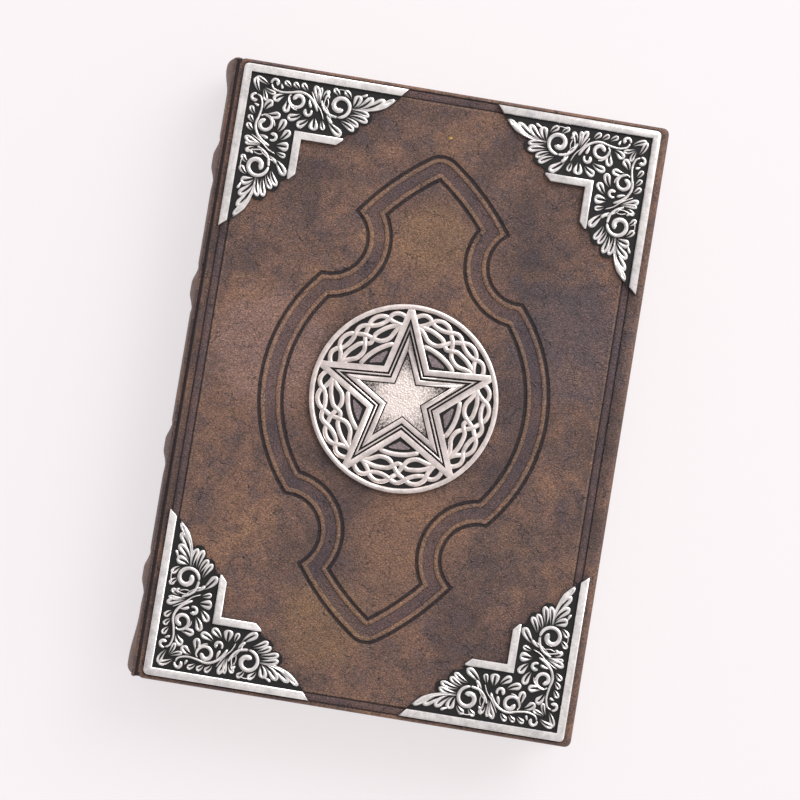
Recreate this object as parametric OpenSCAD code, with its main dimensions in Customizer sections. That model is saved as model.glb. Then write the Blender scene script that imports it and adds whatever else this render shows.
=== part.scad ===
// Blank journal in brown leather, with five raised spine panels, four cast corner plates
// and a round star medallion. It lies on its back cover, with the front cover up.
// X runs from the spine to the fore-edge, Y from the tail to the head, Z from back to front.
// While it is drawn, X is 0 at the joint groove, Y is 0 at the tail and Z is 0 at the back.

/* [Covers] */
// Width of each cover, from the joint groove to the fore-edge
cover_w = 150; // [135:1:190]
// Height of each cover, from the tail to the head
cover_h = 215; // [200:1:280]
// Thickness of the leather on the outside of a cover
leather_t = 1.2; // [0.9:0.1:1.6]
// Thickness of the stiff board in a cover
board_t = 3; // [2.4:0.1:4]
// Thickness of the leather that wraps the edges of a board
edge_t = 1; // [0.7:0.1:1.2]
// Width of the leather that is turned in over the inside of a board
turnin_w = 12; // [8:1:20]
// Thickness of the pared leather of the turn-ins
turnin_t = 0.6; // [0.4:0.1:0.8]
// Thickness of the paper that lines the inside of a cover
pastedown_t = 0.3; // [0.2:0.1:0.5]
// How far the lining paper laps over the turn-ins
pastedown_lap = 3; // [1:0.5:5]
// Radius of the long outer edge of a cover
fore_edge_r = 2; // [1:0.1:2.2]
// Radius of the head and tail edges of a cover
end_edge_r = 1.2; // [0.8:0.1:1.6]
// Radius of the inner edges of the leather, at the turn-ins
inner_edge_r = 0.5; // [0.3:0.1:0.8]
// Gap between the board and the joint groove
board_gap = 0.8; // [0.5:0.1:1.5]

/* [Pages] */
// Thickness of the whole block of pages
pages_t = 23.2; // [18:0.2:34]
// How far the covers stand out beyond the pages at the head and the tail
square_end = 3; // [3:0.5:6]
// How far the covers stand out beyond the pages at the fore-edge
square_fore = 3.5; // [2:0.5:8]
// Depth of the hollow of the fore-edge
fore_hollow = 1.6; // [0.5:0.1:2.5]
// Radius of the sewn band at each end of the pages
end_band_r = 0.9; // [0.6:0.1:1]

/* [Spine] */
// How far the plain spine stands out behind the joint grooves
spine_bulge = 3.3; // [2.6:0.1:4.5]
// Thickness of the cloth and glue on the backs of the pages
lining_t = 0.6; // [0.4:0.1:0.8]
// Thickness of the card that stiffens the spine
stiffener_t = 0.8; // [0.5:0.1:1]
// Distance of the first and last raised band from the ends of the spine
band_end = 35; // [25:1:45]
// Distance of the two middle raised bands from the ends of the spine
band_mid = 80; // [60:1:90]
// How far a raised band stands out beyond the plain spine
band_rise = 1.2; // [0.8:0.1:1.6]
// Width of a raised band where it meets the spine
band_w = 12; // [8:1:14]
// Width of the cord under a raised band
cord_w = 7; // [5:0.5:8]
// Thickness of the leather over a cord
cord_cover = 1; // [0.7:0.1:1.2]
// Radius of the leather bead along each joint
bead_r = 0.8; // [0.5:0.1:0.9]
// Radius of the rolled leather cap at each end of the spine
cap_r = 3; // [2.6:0.1:3.2]
// How far the head cap stands above the covers
cap_rise = 1; // [0.2:0.1:1.5]
// Length over which the head cap narrows down to the plain spine
head_cap_len = 9; // [6:1:14]
// Length over which the tail cap narrows down to the plain spine
tail_cap_len = 16; // [8:1:20]

/* [Tooling] */
// Depth of the pressed lines in the leather
line_depth = 0.45; // [0.2:0.05:0.6]
// Depth of the pressed bands between the lines
band_depth = 0.2; // [0.1:0.05:0.4]
// Width of a pressed line
line_w = 0.6; // [0.4:0.1:0.9]
// Distance between the two lines of the border, outside to outside
border_w = 3.2; // [2.4:0.1:4]
// Distance of the border from the joint groove
border_hinge = 2.6; // [2:0.1:6]
// Distance of the border from the fore-edge
border_fore = 4.9; // [3:0.1:8]
// Distance of the border from the head and the tail
border_end = 1.3; // [1.2:0.1:5]
// Half the width of the pressed strap outline round the medallion
strap_half_w = 50; // [42:1:54]
// Half the height of the pressed strap outline, to its points
strap_half_h = 84.7; // [80:0.1:92]
// Width of the strap
strap_w = 9; // [7:0.5:10]
// Radius of the four notches in the strap's outline
notch_r = 12; // [9:0.5:14]

/* [Metal] */
// Length of each leg of a corner plate
plate_leg = 57; // [54:1:62]
// Width of the smooth bars round a corner plate
bar_w = 2.8; // [2:0.1:3.4]
// Distance of a corner plate from the joint groove
plate_hinge = 2.3; // [2.1:0.1:4]
// Distance of a corner plate from the fore-edge
plate_fore = 2.8; // [2.2:0.1:5]
// Distance of a corner plate from the head or the tail
plate_end = 1.7; // [1.3:0.1:4]
// Thickness of the smooth bars of a corner plate
plate_t = 1.8; // [1.5:0.1:2.4]
// Thickness of the sunken ground of a corner plate
ground_t = 0.7; // [0.4:0.1:0.9]
// Thickness of the scrolls and leaves of a corner plate, from its back
leaf_t = 1.4; // [1.1:0.1:1.5]
// Radius of the medallion
medal_r = 32.5; // [28:0.5:34]
// Thickness of the medallion at its rim
medal_t = 2; // [1.6:0.1:2.6]
// Thickness of the sunken ground of the medallion
medal_ground_t = 0.8; // [0.6:0.1:1]
// Thickness of the star and the knots of the medallion, from its back
medal_relief_t = 1.6; // [1.3:0.1:1.6]
// Width of the medallion's rim
rim_w = 2; // [1.4:0.1:2.6]
// Turn of the star, away from upright
star_turn = 4.3; // [0:0.1:8]

/* [Hidden] */
$fn = 180;
eps = 0.01;
far = 400;

// Stack of the covers and the pages, from the back cover up
page_gap = 0.3;
cover_t = leather_t + board_t + turnin_t + pastedown_t;
book_t = 2 * (cover_t + page_gap) + pages_t;
mid_z = book_t / 2;
pages_half = pages_t / 2;

// Pivot of each cover: the middle of the leather that bends at the joint
pivot_in = leather_t / 2;
joint_gap = 0.3;

// Round back of the book: arcs about an axis that runs along Y
shoulder_x = 0.3;
shoulder_in = 1.4;
shoulder_half = mid_z - pivot_in - shoulder_in;
spine_sag = spine_bulge - shoulder_x;
spine_r = (shoulder_half ^ 2 + spine_sag ^ 2) / (2 * spine_sag);
spine_axis = spine_r - spine_bulge;
inner_r = spine_r - leather_t;
lining_r = inner_r - stiffener_t;
pages_r = lining_r - lining_t;
spine_sweep = 2 * asin(shoulder_half / spine_r);

// The bands and caps stand out most in the middle and die away at the shoulders
bulge_x = shoulder_x + 0.9;
bulge_in = 1.5;
bulge_half = shoulder_half - bulge_in;
band_sag = spine_bulge + band_rise - bulge_x;
band_r = (bulge_half ^ 2 + band_sag ^ 2) / (2 * band_sag);
band_axis = band_r - spine_bulge - band_rise;
band_sweep = 2 * asin(bulge_half / band_r);
hump_deep = band_rise + 0.4;
hump_r = ((band_w / 2) ^ 2 + hump_deep ^ 2) / (2 * hump_deep);
hump_root = hump_deep + 1;
cord_top = band_r - cord_cover;
cord_deep = band_rise - cord_cover + leather_t;
cord_r = ((cord_w / 2) ^ 2 + cord_deep ^ 2) / (2 * cord_deep);
cord_root = 3;
cord_half = pages_half - 0.6;
band_at = [cover_h - band_end, cover_h - band_mid, band_mid, band_end];
bead_x = bead_r + 0.2;
bead_half = mid_z - 2 * pivot_in - 0.5 - bead_r;

// How far the swellings reach into the leather under them
sink = 0.3;

// Ends of the spine
cap_out = 0.4;
head_cap_at = cover_h + cap_rise - cap_r;
tail_cap_at = cap_r + 0.2;
cap_slope = 10;

// Ends of the page block, and room for the sewn bands there
pages_lo = square_end;
pages_hi = cover_h - square_end;
pages_fore = cover_w - square_fore;
end_band_out = 0.6;
end_band_room = end_band_out + end_band_r + 0.3;

// Centre of the strap outline and the medallion
centre = [cover_w / 2 - 0.4, cover_h / 2 + 0.8];

// Origin: the middle of the underside of the whole book
origin_x = (cover_w - spine_bulge - band_rise - cap_out) / 2;
origin_y = (cover_h + cap_rise) / 2;

// Arcs of the strap outline
side_r = strap_half_w + 8;
side_x = side_r - strap_half_w;
point_r = 95;
point_y = 5.7;
point_soft = 8;
point_reach = point_r - point_soft;
point_x = sqrt(point_reach ^ 2 - (strap_half_h - point_y - point_soft) ^ 2);
notch_at = [strap_half_w - 16.5, strap_half_h - 33.9];

// The leaves of a corner plate are drawn on a leg of 57, and grow with the plate
leg_scale = plate_leg / 57;
inner_bar_at = 20.4 * leg_scale;
inner_bar_end = 37.4 * leg_scale;

// Sizes of the star, the rings and the knots, as parts of the medallion's radius
star_tip = 1.05;
star_outer_in = 0.8;
star_line = [0.75, 0.7];
star_inner = [0.65, 0.51];
star_heart = 0.52;
window_ring = [0.615, 0.565];
knot_w = 0.043;
outer_plait = [0.845, 0.055];
inner_plait = [0.715, 0.05];
heart_rise = 0.3;
rim_edge = rim_w * 0.3;

leather_c = "#5f4a3e";
paper_c = "#e9e2cf";
board_c = "#8f8577";
silver_c = "#c9c5c1";

// Draws a flat shape in X and Z along Y
module along_y(y0, y1) {
    translate([0, y1, 0]) rotate([90, 0, 0]) linear_extrude(height = y1 - y0) children();
}

// Draws a flat shape in Y and Z along X
module along_x(x0, x1) {
    translate([x0, 0, 0]) rotate([90, 0, 90]) linear_extrude(height = x1 - x0) children();
}

// Turns a flat shape of radius and height about a spine axis, half to each side of the middle
module round_spine(axis_x, sweep) {
    translate([axis_x, 0, mid_z])
        rotate([-90, 0, 0])
            rotate([0, 0, 180 - sweep / 2])
                rotate_extrude(angle = sweep) children();
}

// Turns a cover over to the other side of the book
module on_back() {
    translate([0, 0, book_t]) mirror([0, 0, 1]) children();
}

// Rectangle with its far corners rounded, by one radius above and one below
module slab(len, t, r_top, r_low) {
    square([len - r_top, t]);
    translate([0, r_low]) square([len, t - r_top - r_low]);
    square([len - r_low, r_low + eps]);
    translate([len - r_top, t - r_top]) circle(r_top);
    translate([len - r_low, r_low]) circle(r_low);
}

// Page block: a round back, a hollow fore-edge and flat sides
module page_profile() {
    hollow_r = (pages_half ^ 2 + fore_hollow ^ 2) / (2 * fore_hollow);
    difference() {
        union() {
            intersection() {
                translate([spine_axis, mid_z]) circle(pages_r);
                translate([-far, mid_z - pages_half]) square([far + spine_axis, pages_t]);
            }
            translate([spine_axis - eps, mid_z - pages_half])
                square([pages_fore - spine_axis + eps, pages_t]);
        }
        translate([pages_fore - fore_hollow + hollow_r, mid_z]) circle(hollow_r);
    }
}

module page_block() {
    color(paper_c) along_y(pages_lo, pages_hi) page_profile();
}

// Sewn band on the edge of the pages, flat underneath
module end_band(up) {
    band_turn = 2 * asin((pages_half - 1) / pages_r);
    at = up > 0 ? pages_hi : pages_lo;
    color("#b08a4a")
        round_spine(spine_axis, band_turn)
            intersection() {
                translate([pages_r - end_band_r - 0.3, at + up * end_band_out]) circle(end_band_r);
                translate([0, up > 0 ? at : at - 2 * end_band_r]) square([pages_r, 2 * end_band_r]);
            }
}

module spine_lining() {
    turn = 2 * asin(pages_half / lining_r);
    color("#d8d0c0")
        round_spine(spine_axis, turn)
            translate([pages_r, pages_lo]) square([lining_t, pages_hi - pages_lo]);
}

module spine_stiffener() {
    turn = 2 * asin((pages_half - 0.2) / inner_r);
    color(board_c)
        round_spine(spine_axis, turn)
            translate([lining_r, pages_lo]) square([stiffener_t, pages_hi - pages_lo]);
}

// Room for a cord between the stiffener and the leather over it
module cord_room(at) {
    intersection() {
        round_spine(band_axis, band_sweep)
            translate([0, at])
                intersection() {
                    translate([cord_top - cord_r, 0]) circle(cord_r);
                    translate([cord_top - cord_root, -cord_w]) square([cord_root + 1, 2 * cord_w]);
                }
        translate([-far / 2, 0, mid_z - cord_half]) cube([far, cover_h, 2 * cord_half]);
    }
}

// Cord under the leather, laid over the round of the stiffener
module raised_band(at) {
    color("#a08f72")
        difference() {
            cord_room(at);
            translate([spine_axis, -eps, mid_z])
                rotate([-90, 0, 0]) cylinder(r = inner_r, h = cover_h + 2 * eps);
        }
}

// Swelling of the leather over a cord
module band_hump(at) {
    round_spine(band_axis, band_sweep)
        translate([0, at])
            intersection() {
                translate([band_r - hump_r, 0]) circle(hump_r);
                translate([band_r - hump_root, -band_w]) square([hump_root + 1, 2 * band_w]);
            }
}

// Rolled cap at one end of the spine, with a long slope down to the plain leather
module cap_shape(out, at, up, len) {
    rim = band_r - cap_r + out;
    foot = band_r - band_rise - 0.1;
    translate([rim, at]) circle(cap_r);
    polygon([
        [rim, at],
        [rim + cap_r * cos(cap_slope), at - up * cap_r * sin(cap_slope)],
        [foot, at - up * len],
        [foot - 1.5, at - up * len]
    ]);
}

// Section of the plain leather of the spine: an arc, with a bead along each joint
module spine_profile() {
    difference() {
        union() {
            intersection() {
                translate([spine_axis, mid_z]) circle(spine_r);
                translate([-far, mid_z - shoulder_half]) square([far, 2 * shoulder_half]);
            }
            for (side = [-1, 1])
                translate([-bead_x, mid_z + side * bead_half]) circle(bead_r);
        }
        translate([spine_axis, mid_z]) circle(inner_r);
        for (side = [0, 1])
            translate([0, mid_z])
                mirror([0, side])
                    translate([-joint_gap / 2, pages_half]) square([far, far]);
    }
}

// Room for the pages and the covers, which the swellings of the leather stay out of
module spine_room(y0, y1) {
    translate([spine_axis, y0, mid_z])
        rotate([-90, 0, 0]) cylinder(r = inner_r + sink, h = y1 - y0);
    for (side = [0, 1])
        mirror_mid(side)
            translate([-joint_gap / 2 - sink, -far / 4, mid_z + pages_half - sink])
                cube([far, far, far]);
}

module spine_leather() {
    color(leather_c)
        difference() {
            union() {
                along_y(0, cover_h) spine_profile();
                difference() {
                    for (at = band_at)
                        band_hump(at);
                    spine_room(0, cover_h);
                }
                difference() {
                    round_spine(band_axis, band_sweep) {
                        cap_shape(cap_out, head_cap_at, 1, head_cap_len);
                        cap_shape(0, tail_cap_at, -1, tail_cap_len);
                    }
                    spine_room(pages_lo - end_band_room, pages_hi + end_band_room);
                }
            }
            for (at = band_at)
                cord_room(at);
        }
}

// Reflects in the middle plane of the book when side is 1
module mirror_mid(side) {
    translate([0, 0, mid_z]) mirror([0, 0, side]) translate([0, 0, -mid_z]) children();
}

// Outline of a cover that is drawn in by d on every side but the joint
module board_blank(d, z0, z1) {
    translate([board_gap, d, z0]) cube([cover_w - d - board_gap, cover_h - 2 * d, z1 - z0]);
}

module board() {
    color(board_c) board_blank(edge_t, book_t - leather_t - board_t, book_t - leather_t);
}

// Opening between the turn-ins, open towards the joint
module inside_turnins(d, z0, z1) {
    translate([board_gap - far, turnin_w + d, z0])
        cube([far + cover_w - turnin_w - board_gap - d, cover_h - 2 * turnin_w - 2 * d, z1 - z0]);
}

// Leather of a cover: flat outside, round edges, turned in over the board, open at the joint
module cover_hide() {
    low = book_t - cover_t + pastedown_t;
    hide_t = book_t - low;
    under_board = low + turnin_t;
    difference() {
        intersection() {
            translate([0, 0, low]) along_y(0, cover_h) slab(cover_w, hide_t, fore_edge_r, inner_edge_r);
            translate([0, 0, low]) along_x(joint_gap, cover_w) {
                translate([cover_h / 2, 0])
                    slab(cover_h / 2, hide_t, end_edge_r, inner_edge_r);
                translate([cover_h / 2, 0])
                    mirror([1, 0]) slab(cover_h / 2, hide_t, end_edge_r, inner_edge_r);
            }
        }
        translate([-far, edge_t, under_board])
            cube([far + cover_w - edge_t, cover_h - 2 * edge_t, board_t]);
        inside_turnins(0, low - 1, under_board + eps);
    }
}

// Lining paper: it lies on the board and steps up over the turn-ins
module pastedown() {
    low = book_t - cover_t;
    step = low + pastedown_t;
    under_board = step + turnin_t;
    color(paper_c)
        difference() {
            intersection() {
                union() {
                    inside_turnins(-pastedown_lap, low, step);
                    inside_turnins(0, low, under_board);
                }
                translate([board_gap, 0, 0]) cube([cover_w, cover_h, book_t]);
            }
            inside_turnins(pastedown_t, low - 1, under_board - pastedown_t);
        }
}

// Rectangle of the pressed border, drawn in by d
module border_shape(d) {
    translate([border_hinge + d, border_end + d])
        square([cover_w - border_hinge - border_fore - 2 * d, cover_h - 2 * border_end - 2 * d]);
}

// Part of the strap outline between two large side arcs, drawn in by d
module strap_side(d) {
    intersection() {
        translate([side_x, 0]) circle(side_r - d);
        translate([-side_x, 0]) circle(side_r - d);
        square([far, 2 * notch_at[1]], center = true);
    }
}

// Pointed end of the strap outline, with its point rounded off where there is room for it
module strap_point(d) {
    soft = max(point_soft - d, eps);
    reach = point_r - d - soft;
    tip_y = sqrt(reach ^ 2 - point_x ^ 2) + point_y;
    soft_y = tip_y + soft * (tip_y - point_y) / reach;
    intersection() {
        translate([point_x, point_y]) circle(point_r - d);
        translate([-point_x, point_y]) circle(point_r - d);
        translate([-far / 2, 0]) square([far, soft_y]);
    }
    translate([0, tip_y]) circle(soft);
}

// Outline of the strap, drawn in by d
module strap_shape(d) {
    difference() {
        union() {
            strap_side(d);
            strap_point(d);
            mirror([0, 1]) strap_point(d);
        }
        for (sx = [-1, 1])
            for (sy = [-1, 1])
                translate([sx * notch_at[0], sy * notch_at[1]]) circle(notch_r + d);
    }
}

// Pressed ring between two insets of the strap outline
module strap_ring(d0, d1, depth) {
    translate([centre[0], centre[1], book_t - depth])
        linear_extrude(height = depth + 1)
            difference() {
                strap_shape(d0);
                strap_shape(d1);
            }
}

// Pressed ring between two insets of the border
module border_ring(d0, d1, depth) {
    translate([0, 0, book_t - depth])
        linear_extrude(height = depth + 1)
            difference() {
                border_shape(d0);
                border_shape(d1);
            }
}

module border_tooling() {
    border_ring(0, line_w, line_depth);
    border_ring(line_w - eps, border_w - line_w + eps, band_depth);
    border_ring(border_w - line_w, border_w, line_depth);
}

module strap_tooling() {
    ridge = 1.3;
    edge = 1.3;
    strap_ring(0, edge, line_depth);
    strap_ring(edge + ridge, strap_w - edge - ridge, band_depth + 0.1);
    strap_ring(strap_w - edge, strap_w, line_depth);
}

module front_leather() {
    color(leather_c)
        difference() {
            cover_hide();
            border_tooling();
            strap_tooling();
        }
}

module back_leather() {
    color(leather_c)
        on_back()
            difference() {
                cover_hide();
                border_tooling();
            }
}

// Points of a smooth curve through hand-placed points, n steps between each two
function bend(p, n) = [
    for (i = [0:len(p) - 2])
        for (k = [0:(i == len(p) - 2 ? n : n - 1)])
            let (
                a = p[max(i - 1, 0)],
                b = p[i],
                c = p[i + 1],
                d = p[min(i + 2, len(p) - 1)],
                t = k / n
            )
            0.5 * (2 * b + (c - a) * t + (2 * a - 5 * b + 4 * c - d) * t ^ 2
                + (3 * b - a - 3 * c + d) * t ^ 3)
];

// Points of a spiral about c, its radius going from r0 to r1 between two angles
function spiral(c, r0, r1, a0, a1, n) = [
    for (i = [0:n])
        let (t = i / n, a = a0 + (a1 - a0) * t, r = r0 + (r1 - r0) * t)
        c + r * [cos(a), sin(a)]
];

// Point to one side of a path, half a width away
function beside(p, i, side, w) =
    let (
        a = p[max(i - 1, 0)],
        b = p[min(i + 1, len(p) - 1)],
        along = (b - a) / norm(b - a)
    )
    p[i] + side * w / 2 * [-along[1], along[0]];

// Flat ribbon along a path, from one width to another
module ribbon(p, w0, w1) {
    n = len(p) - 1;
    polygon(concat(
        [for (i = [0:n]) beside(p, i, 1, w0 + (w1 - w0) * i / n)],
        [for (i = [n:-1:0]) beside(p, i, -1, w0 + (w1 - w0) * i / n)]
    ));
}

// Leaf with a point at a and a round end at b
module leaf(a, b, w) {
    turn = atan2(b[1] - a[1], b[0] - a[0]);
    polygon(concat([a], [for (t = [-96:48:96]) b + w / 2 * [cos(turn + t), sin(turn + t)]]));
}

// Leaves of one leg of a corner plate: pointed end, round end, width
LEAVES = [
    [10, 6.6, 5.2, 4.6, 1.8], [8.2, 7.6, 11.2, 8.8, 1.5], [15.2, 8.9, 12.6, 11, 2.2],
    [15.7, 9.9, 15.9, 13.3, 2.4], [17.3, 6.2, 15.2, 4.9, 1.5], [20.1, 6.3, 18.2, 4.8, 1.5],
    [23.2, 6.8, 21.2, 4.8, 1.6], [27.2, 11.4, 25.1, 5.3, 1.8], [27.5, 9.6, 27.3, 5.1, 1.4],
    [31.7, 6, 29.2, 7, 1.3], [33.8, 6.1, 31.4, 4.8, 1.6], [37.6, 6.6, 35.7, 4.8, 1.8],
    [38.9, 9, 40.4, 6, 2.6], [40.8, 8.8, 44.4, 5.8, 2.2], [43.4, 8.8, 48.4, 5.2, 2.2],
    [39.4, 10.8, 44.2, 11.7, 1.7], [38.2, 12.8, 43.8, 13.1, 2], [37.2, 14.2, 40.5, 16.5, 1.7],
    [35.9, 14.5, 38.3, 17.2, 1.8], [31.8, 16, 35.9, 18.9, 2.2], [29.2, 16.2, 30.1, 18.6, 1.3],
    [27, 15.8, 26.6, 17.8, 2.8], [24.8, 16.1, 21.6, 17.9, 2.3], [21.4, 14.4, 18.3, 15.8, 2.2],
    [26.2, 9.6, 27.9, 14.5, 1.6], [47, 7.2, 52.4, 4.3, 1.6]
];

// Stems and scrolls of one leg of a corner plate
module scrolls() {
    ribbon(spiral([11.5, 5.1], 1.4, 0.5, 150, 400, 7), 0.9, 1.3);
    ribbon(bend([[10.1, 5.6], [11, 7.3], [13.9, 8.1], [17.2, 7.7], [20.3, 7], [23.2, 7.8],
        [25.6, 10], [27.2, 13]], 2), 0.8, 1.2);
    ribbon(spiral([19.8, 9.9], 3, 0.9, 205, -100, 10), 1.1, 1.9);
    ribbon(spiral([23.7, 13.4], 1.4, 0.4, -50, 230, 7), 0.8, 1.4);
    ribbon(bend([[27.8, 8.6], [28.9, 11], [31, 13], [34.2, 13.7]], 2), 0.9, 1.2);
    ribbon(spiral([34.2, 10], 3.7, 1.2, 90, -240, 12), 1.2, 2.2);
    ribbon(bend([[39.2, 10], [43.4, 9.1], [47.4, 7.9], [50.8, 5.8], [53.6, 4.2]], 1), 1.2, 0.6);
}

// Both legs of a flat corner shape, from the one that lies along X
module both_legs() {
    children();
    mirror([1, -1]) children();
}

// Smooth bars of a corner plate: the long outer angle and the short inner one
module plate_bars() {
    a = inner_bar_at;
    b = inner_bar_end;
    both_legs() {
        polygon([[0, 0], [plate_leg, 0], [plate_leg - bar_w + 0.4, bar_w], [bar_w, bar_w]]);
        polygon([[a, a], [b, a], [b, a + 0.8], [b + 0.6 - bar_w, a + bar_w], [a + bar_w, a + bar_w]]);
    }
}

// Sunken ground of a corner plate, which follows the ends of the leaves
module plate_ground() {
    both_legs()
        polygon([
            [0.5, 0.5], [55.5, 1], [54.4, 3.4], [51.2, 6.9], [47.8, 8.8], [44.9, 9.7],
            [46, 11.2], [45.9, 13.2], [44.2, 14.5], [41.8, 14.7], [42.2, 16.6], [41, 18],
            [39, 18.5], [37.6, 19.2], [37.2, 21], [21, 21]
        ]);
}

module corner_plate() {
    linear_extrude(height = ground_t) scale([leg_scale, leg_scale]) plate_ground();
    linear_extrude(height = plate_t) plate_bars();
    linear_extrude(height = leaf_t)
        scale([leg_scale, leg_scale])
            both_legs() {
                for (row = LEAVES)
                    leaf([row[0], row[1]], [row[2], row[3]], row[4]);
                scrolls();
            }
}

// Puts a corner plate on the front cover, at the head or tail and by the spine or the fore-edge
module place_plate(head, fore) {
    x = fore ? cover_w - plate_fore : plate_hinge;
    y = head ? cover_h - plate_end : plate_end;
    color(silver_c)
        translate([x, y, book_t])
            mirror([fore ? 1 : 0, 0, 0])
                mirror([0, head ? 1 : 0, 0]) corner_plate();
}

// Five-pointed star that reaches r at its points
module star(r) {
    waist = r * sin(18) / sin(54);
    rotate(90 + star_turn)
        polygon([for (i = [0:9]) (i % 2 == 0 ? r : waist) * [cos(36 * i), sin(36 * i)]]);
}

// Band of the star between two sizes
module star_band(r0, r1) {
    difference() {
        star(r0);
        star(r1);
    }
}

// Wavy strand of a plait that runs round the medallion between two angles
module strand(r, swing, waves, half_turn, side, w) {
    n = 6 * waves;
    ribbon([
        for (i = [0:n])
            let (t = i / n, a = half_turn * (2 * t - 1))
            (r + side * swing * sin(180 * waves * t)) * [cos(a), sin(a)]
    ], w, w);
}

// Plaited knot in one of the five fields round the star
module knot() {
    for (side = [-1, 1]) {
        strand(medal_r * outer_plait[0], medal_r * outer_plait[1], 4, 29, side, medal_r * knot_w);
        strand(medal_r * inner_plait[0], medal_r * inner_plait[1], 3, 17, side, medal_r * knot_w);
    }
}

// Relief of the medallion, from the star out to the knots
module medal_relief() {
    intersection() {
        star_band(medal_r * star_tip, medal_r * star_outer_in);
        circle(medal_r - rim_w / 2);
    }
    star_band(medal_r * star_line[0], medal_r * star_line[1]);
    star_band(medal_r * star_inner[0], medal_r * star_inner[1]);
    difference() {
        union() {
            difference() {
                circle(medal_r * window_ring[0]);
                circle(medal_r * window_ring[1]);
            }
            for (i = [0:4])
                rotate(90 + star_turn + 36 + 72 * i) knot();
        }
        star(medal_r * star_tip - 0.3);
    }
}

module medallion() {
    color(silver_c)
        translate([centre[0], centre[1], book_t]) {
            cylinder(r = medal_r, h = medal_ground_t);
            linear_extrude(height = medal_relief_t) medal_relief();
            linear_extrude(height = medal_ground_t + heart_rise) star(medal_r * star_heart);
            rotate_extrude()
                translate([medal_r - rim_w, 0])
                    polygon([
                        [0, 0], [rim_w, 0], [rim_w, medal_t - rim_edge], [rim_w - rim_edge, medal_t],
                        [rim_edge, medal_t], [0, medal_t - rim_edge]
                    ]);
        }
}

// Moves the book so that the origin is under the middle of it
module place() {
    translate([-origin_x, -origin_y, 0]) children();
}

place() page_block();
place() end_band(1);  // head_band
place() end_band(-1);  // tail_band
place() spine_lining();
place() spine_stiffener();
place() raised_band(band_at[0]);  // raised_band_1
place() raised_band(band_at[1]);  // raised_band_2
place() raised_band(band_at[2]);  // raised_band_3
place() raised_band(band_at[3]);  // raised_band_4
place() spine_leather();
place() board();  // front_board
place() front_leather();
place() pastedown();  // front_pastedown
place() on_back() board();  // back_board
place() back_leather();
place() on_back() pastedown();  // back_pastedown
place() medallion();
place() place_plate(true, false);  // corner_head_spine
place() place_plate(true, true);  // corner_head_fore
place() place_plate(false, false);  // corner_tail_spine
place() place_plate(false, true);  // corner_tail_fore
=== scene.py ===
# %% [markdown]
# # A leather journal with cast corners
#
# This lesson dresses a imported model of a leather-bound journal. The model gives the boards, the
# block of pages and where everything sits. The cells below add what a bench gives the real one:
# grained leather with lines pressed into it, cast and darkened metal, and paper with cut edges.

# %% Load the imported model
import math

import bmesh
import bpy
from mathutils import Matrix, Vector


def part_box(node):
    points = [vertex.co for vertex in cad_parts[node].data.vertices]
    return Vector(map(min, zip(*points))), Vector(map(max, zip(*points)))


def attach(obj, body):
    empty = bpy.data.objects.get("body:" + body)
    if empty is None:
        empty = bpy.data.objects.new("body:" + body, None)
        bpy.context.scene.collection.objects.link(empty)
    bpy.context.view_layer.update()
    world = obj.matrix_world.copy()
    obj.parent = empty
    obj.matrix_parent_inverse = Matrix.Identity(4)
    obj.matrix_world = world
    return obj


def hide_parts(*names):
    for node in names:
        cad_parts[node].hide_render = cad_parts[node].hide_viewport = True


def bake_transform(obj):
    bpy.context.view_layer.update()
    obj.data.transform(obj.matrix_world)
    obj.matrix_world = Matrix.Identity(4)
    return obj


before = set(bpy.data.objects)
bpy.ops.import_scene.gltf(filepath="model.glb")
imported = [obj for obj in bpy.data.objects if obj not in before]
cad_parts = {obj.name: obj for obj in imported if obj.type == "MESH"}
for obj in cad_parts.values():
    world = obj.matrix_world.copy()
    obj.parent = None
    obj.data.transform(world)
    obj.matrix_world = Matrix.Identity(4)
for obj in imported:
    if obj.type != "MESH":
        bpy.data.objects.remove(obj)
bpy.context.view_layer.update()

# %% [markdown]
# ## One place for every measure
#
# The journal is drawn in millimetres from the joint groove, the tail and the underside, as a
# binder would measure it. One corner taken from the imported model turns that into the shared
# frame, so each new piece lands on the piece that carries it.

# %% Set out the measures
MM = 0.001
COVER_W, COVER_H = 150.0, 215.0
hide_low, hide_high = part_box("front_leather")
ORIGIN = Vector((hide_high.x - COVER_W * MM, hide_low.y, 0.0))
BOOK_T = hide_high.z / MM
MID_Z = BOOK_T / 2
CENTRE = Vector((74.6, 108.3))
LEATHER_T, BOARD_T, TURNIN_T, TURNIN_W = 1.2, 3.0, 0.6, 12.0
PAGES_HALF = 11.6


def in_frame(x, y, z):
    """A place on the journal in millimetres, as a point of the shared frame."""
    return ORIGIN + Vector((x, y, z)) * MM


print("thickness over the covers: %.1f mm" % BOOK_T)

# %% [markdown]
# ## The camera
#
# The photograph looks almost straight down, from nearly a metre away, with the journal turned a
# little on its pale table. A long lens keeps the edges parallel, as they are there.

# %% Point the camera
camera_data = bpy.data.cameras.new("camera")
camera_data.lens = 117.6
camera_data.sensor_width = 36.0
camera_data.clip_start, camera_data.clip_end = 0.05, 10.0
camera = bpy.data.objects.new("camera", camera_data)
camera.location = (-0.0147, -0.0331, 0.9266)
camera.rotation_euler = (math.radians(1.915), math.radians(-1.327), math.radians(9.368))
bpy.context.scene.collection.objects.link(camera)
bpy.context.scene.camera = camera
bpy.context.scene.view_settings.view_transform = "Standard"
print("camera %.2f m above the table" % camera.location.z)

# %% [markdown]
# ## Colours and nodes
#
# Paint charts give sRGB hex values, and the renderer wants linear light. One function turns the
# first into the second. A second feeds a node's inputs, and a third adds a node, sets it and
# feeds it, which keeps each material short enough to read as a recipe.

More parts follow.
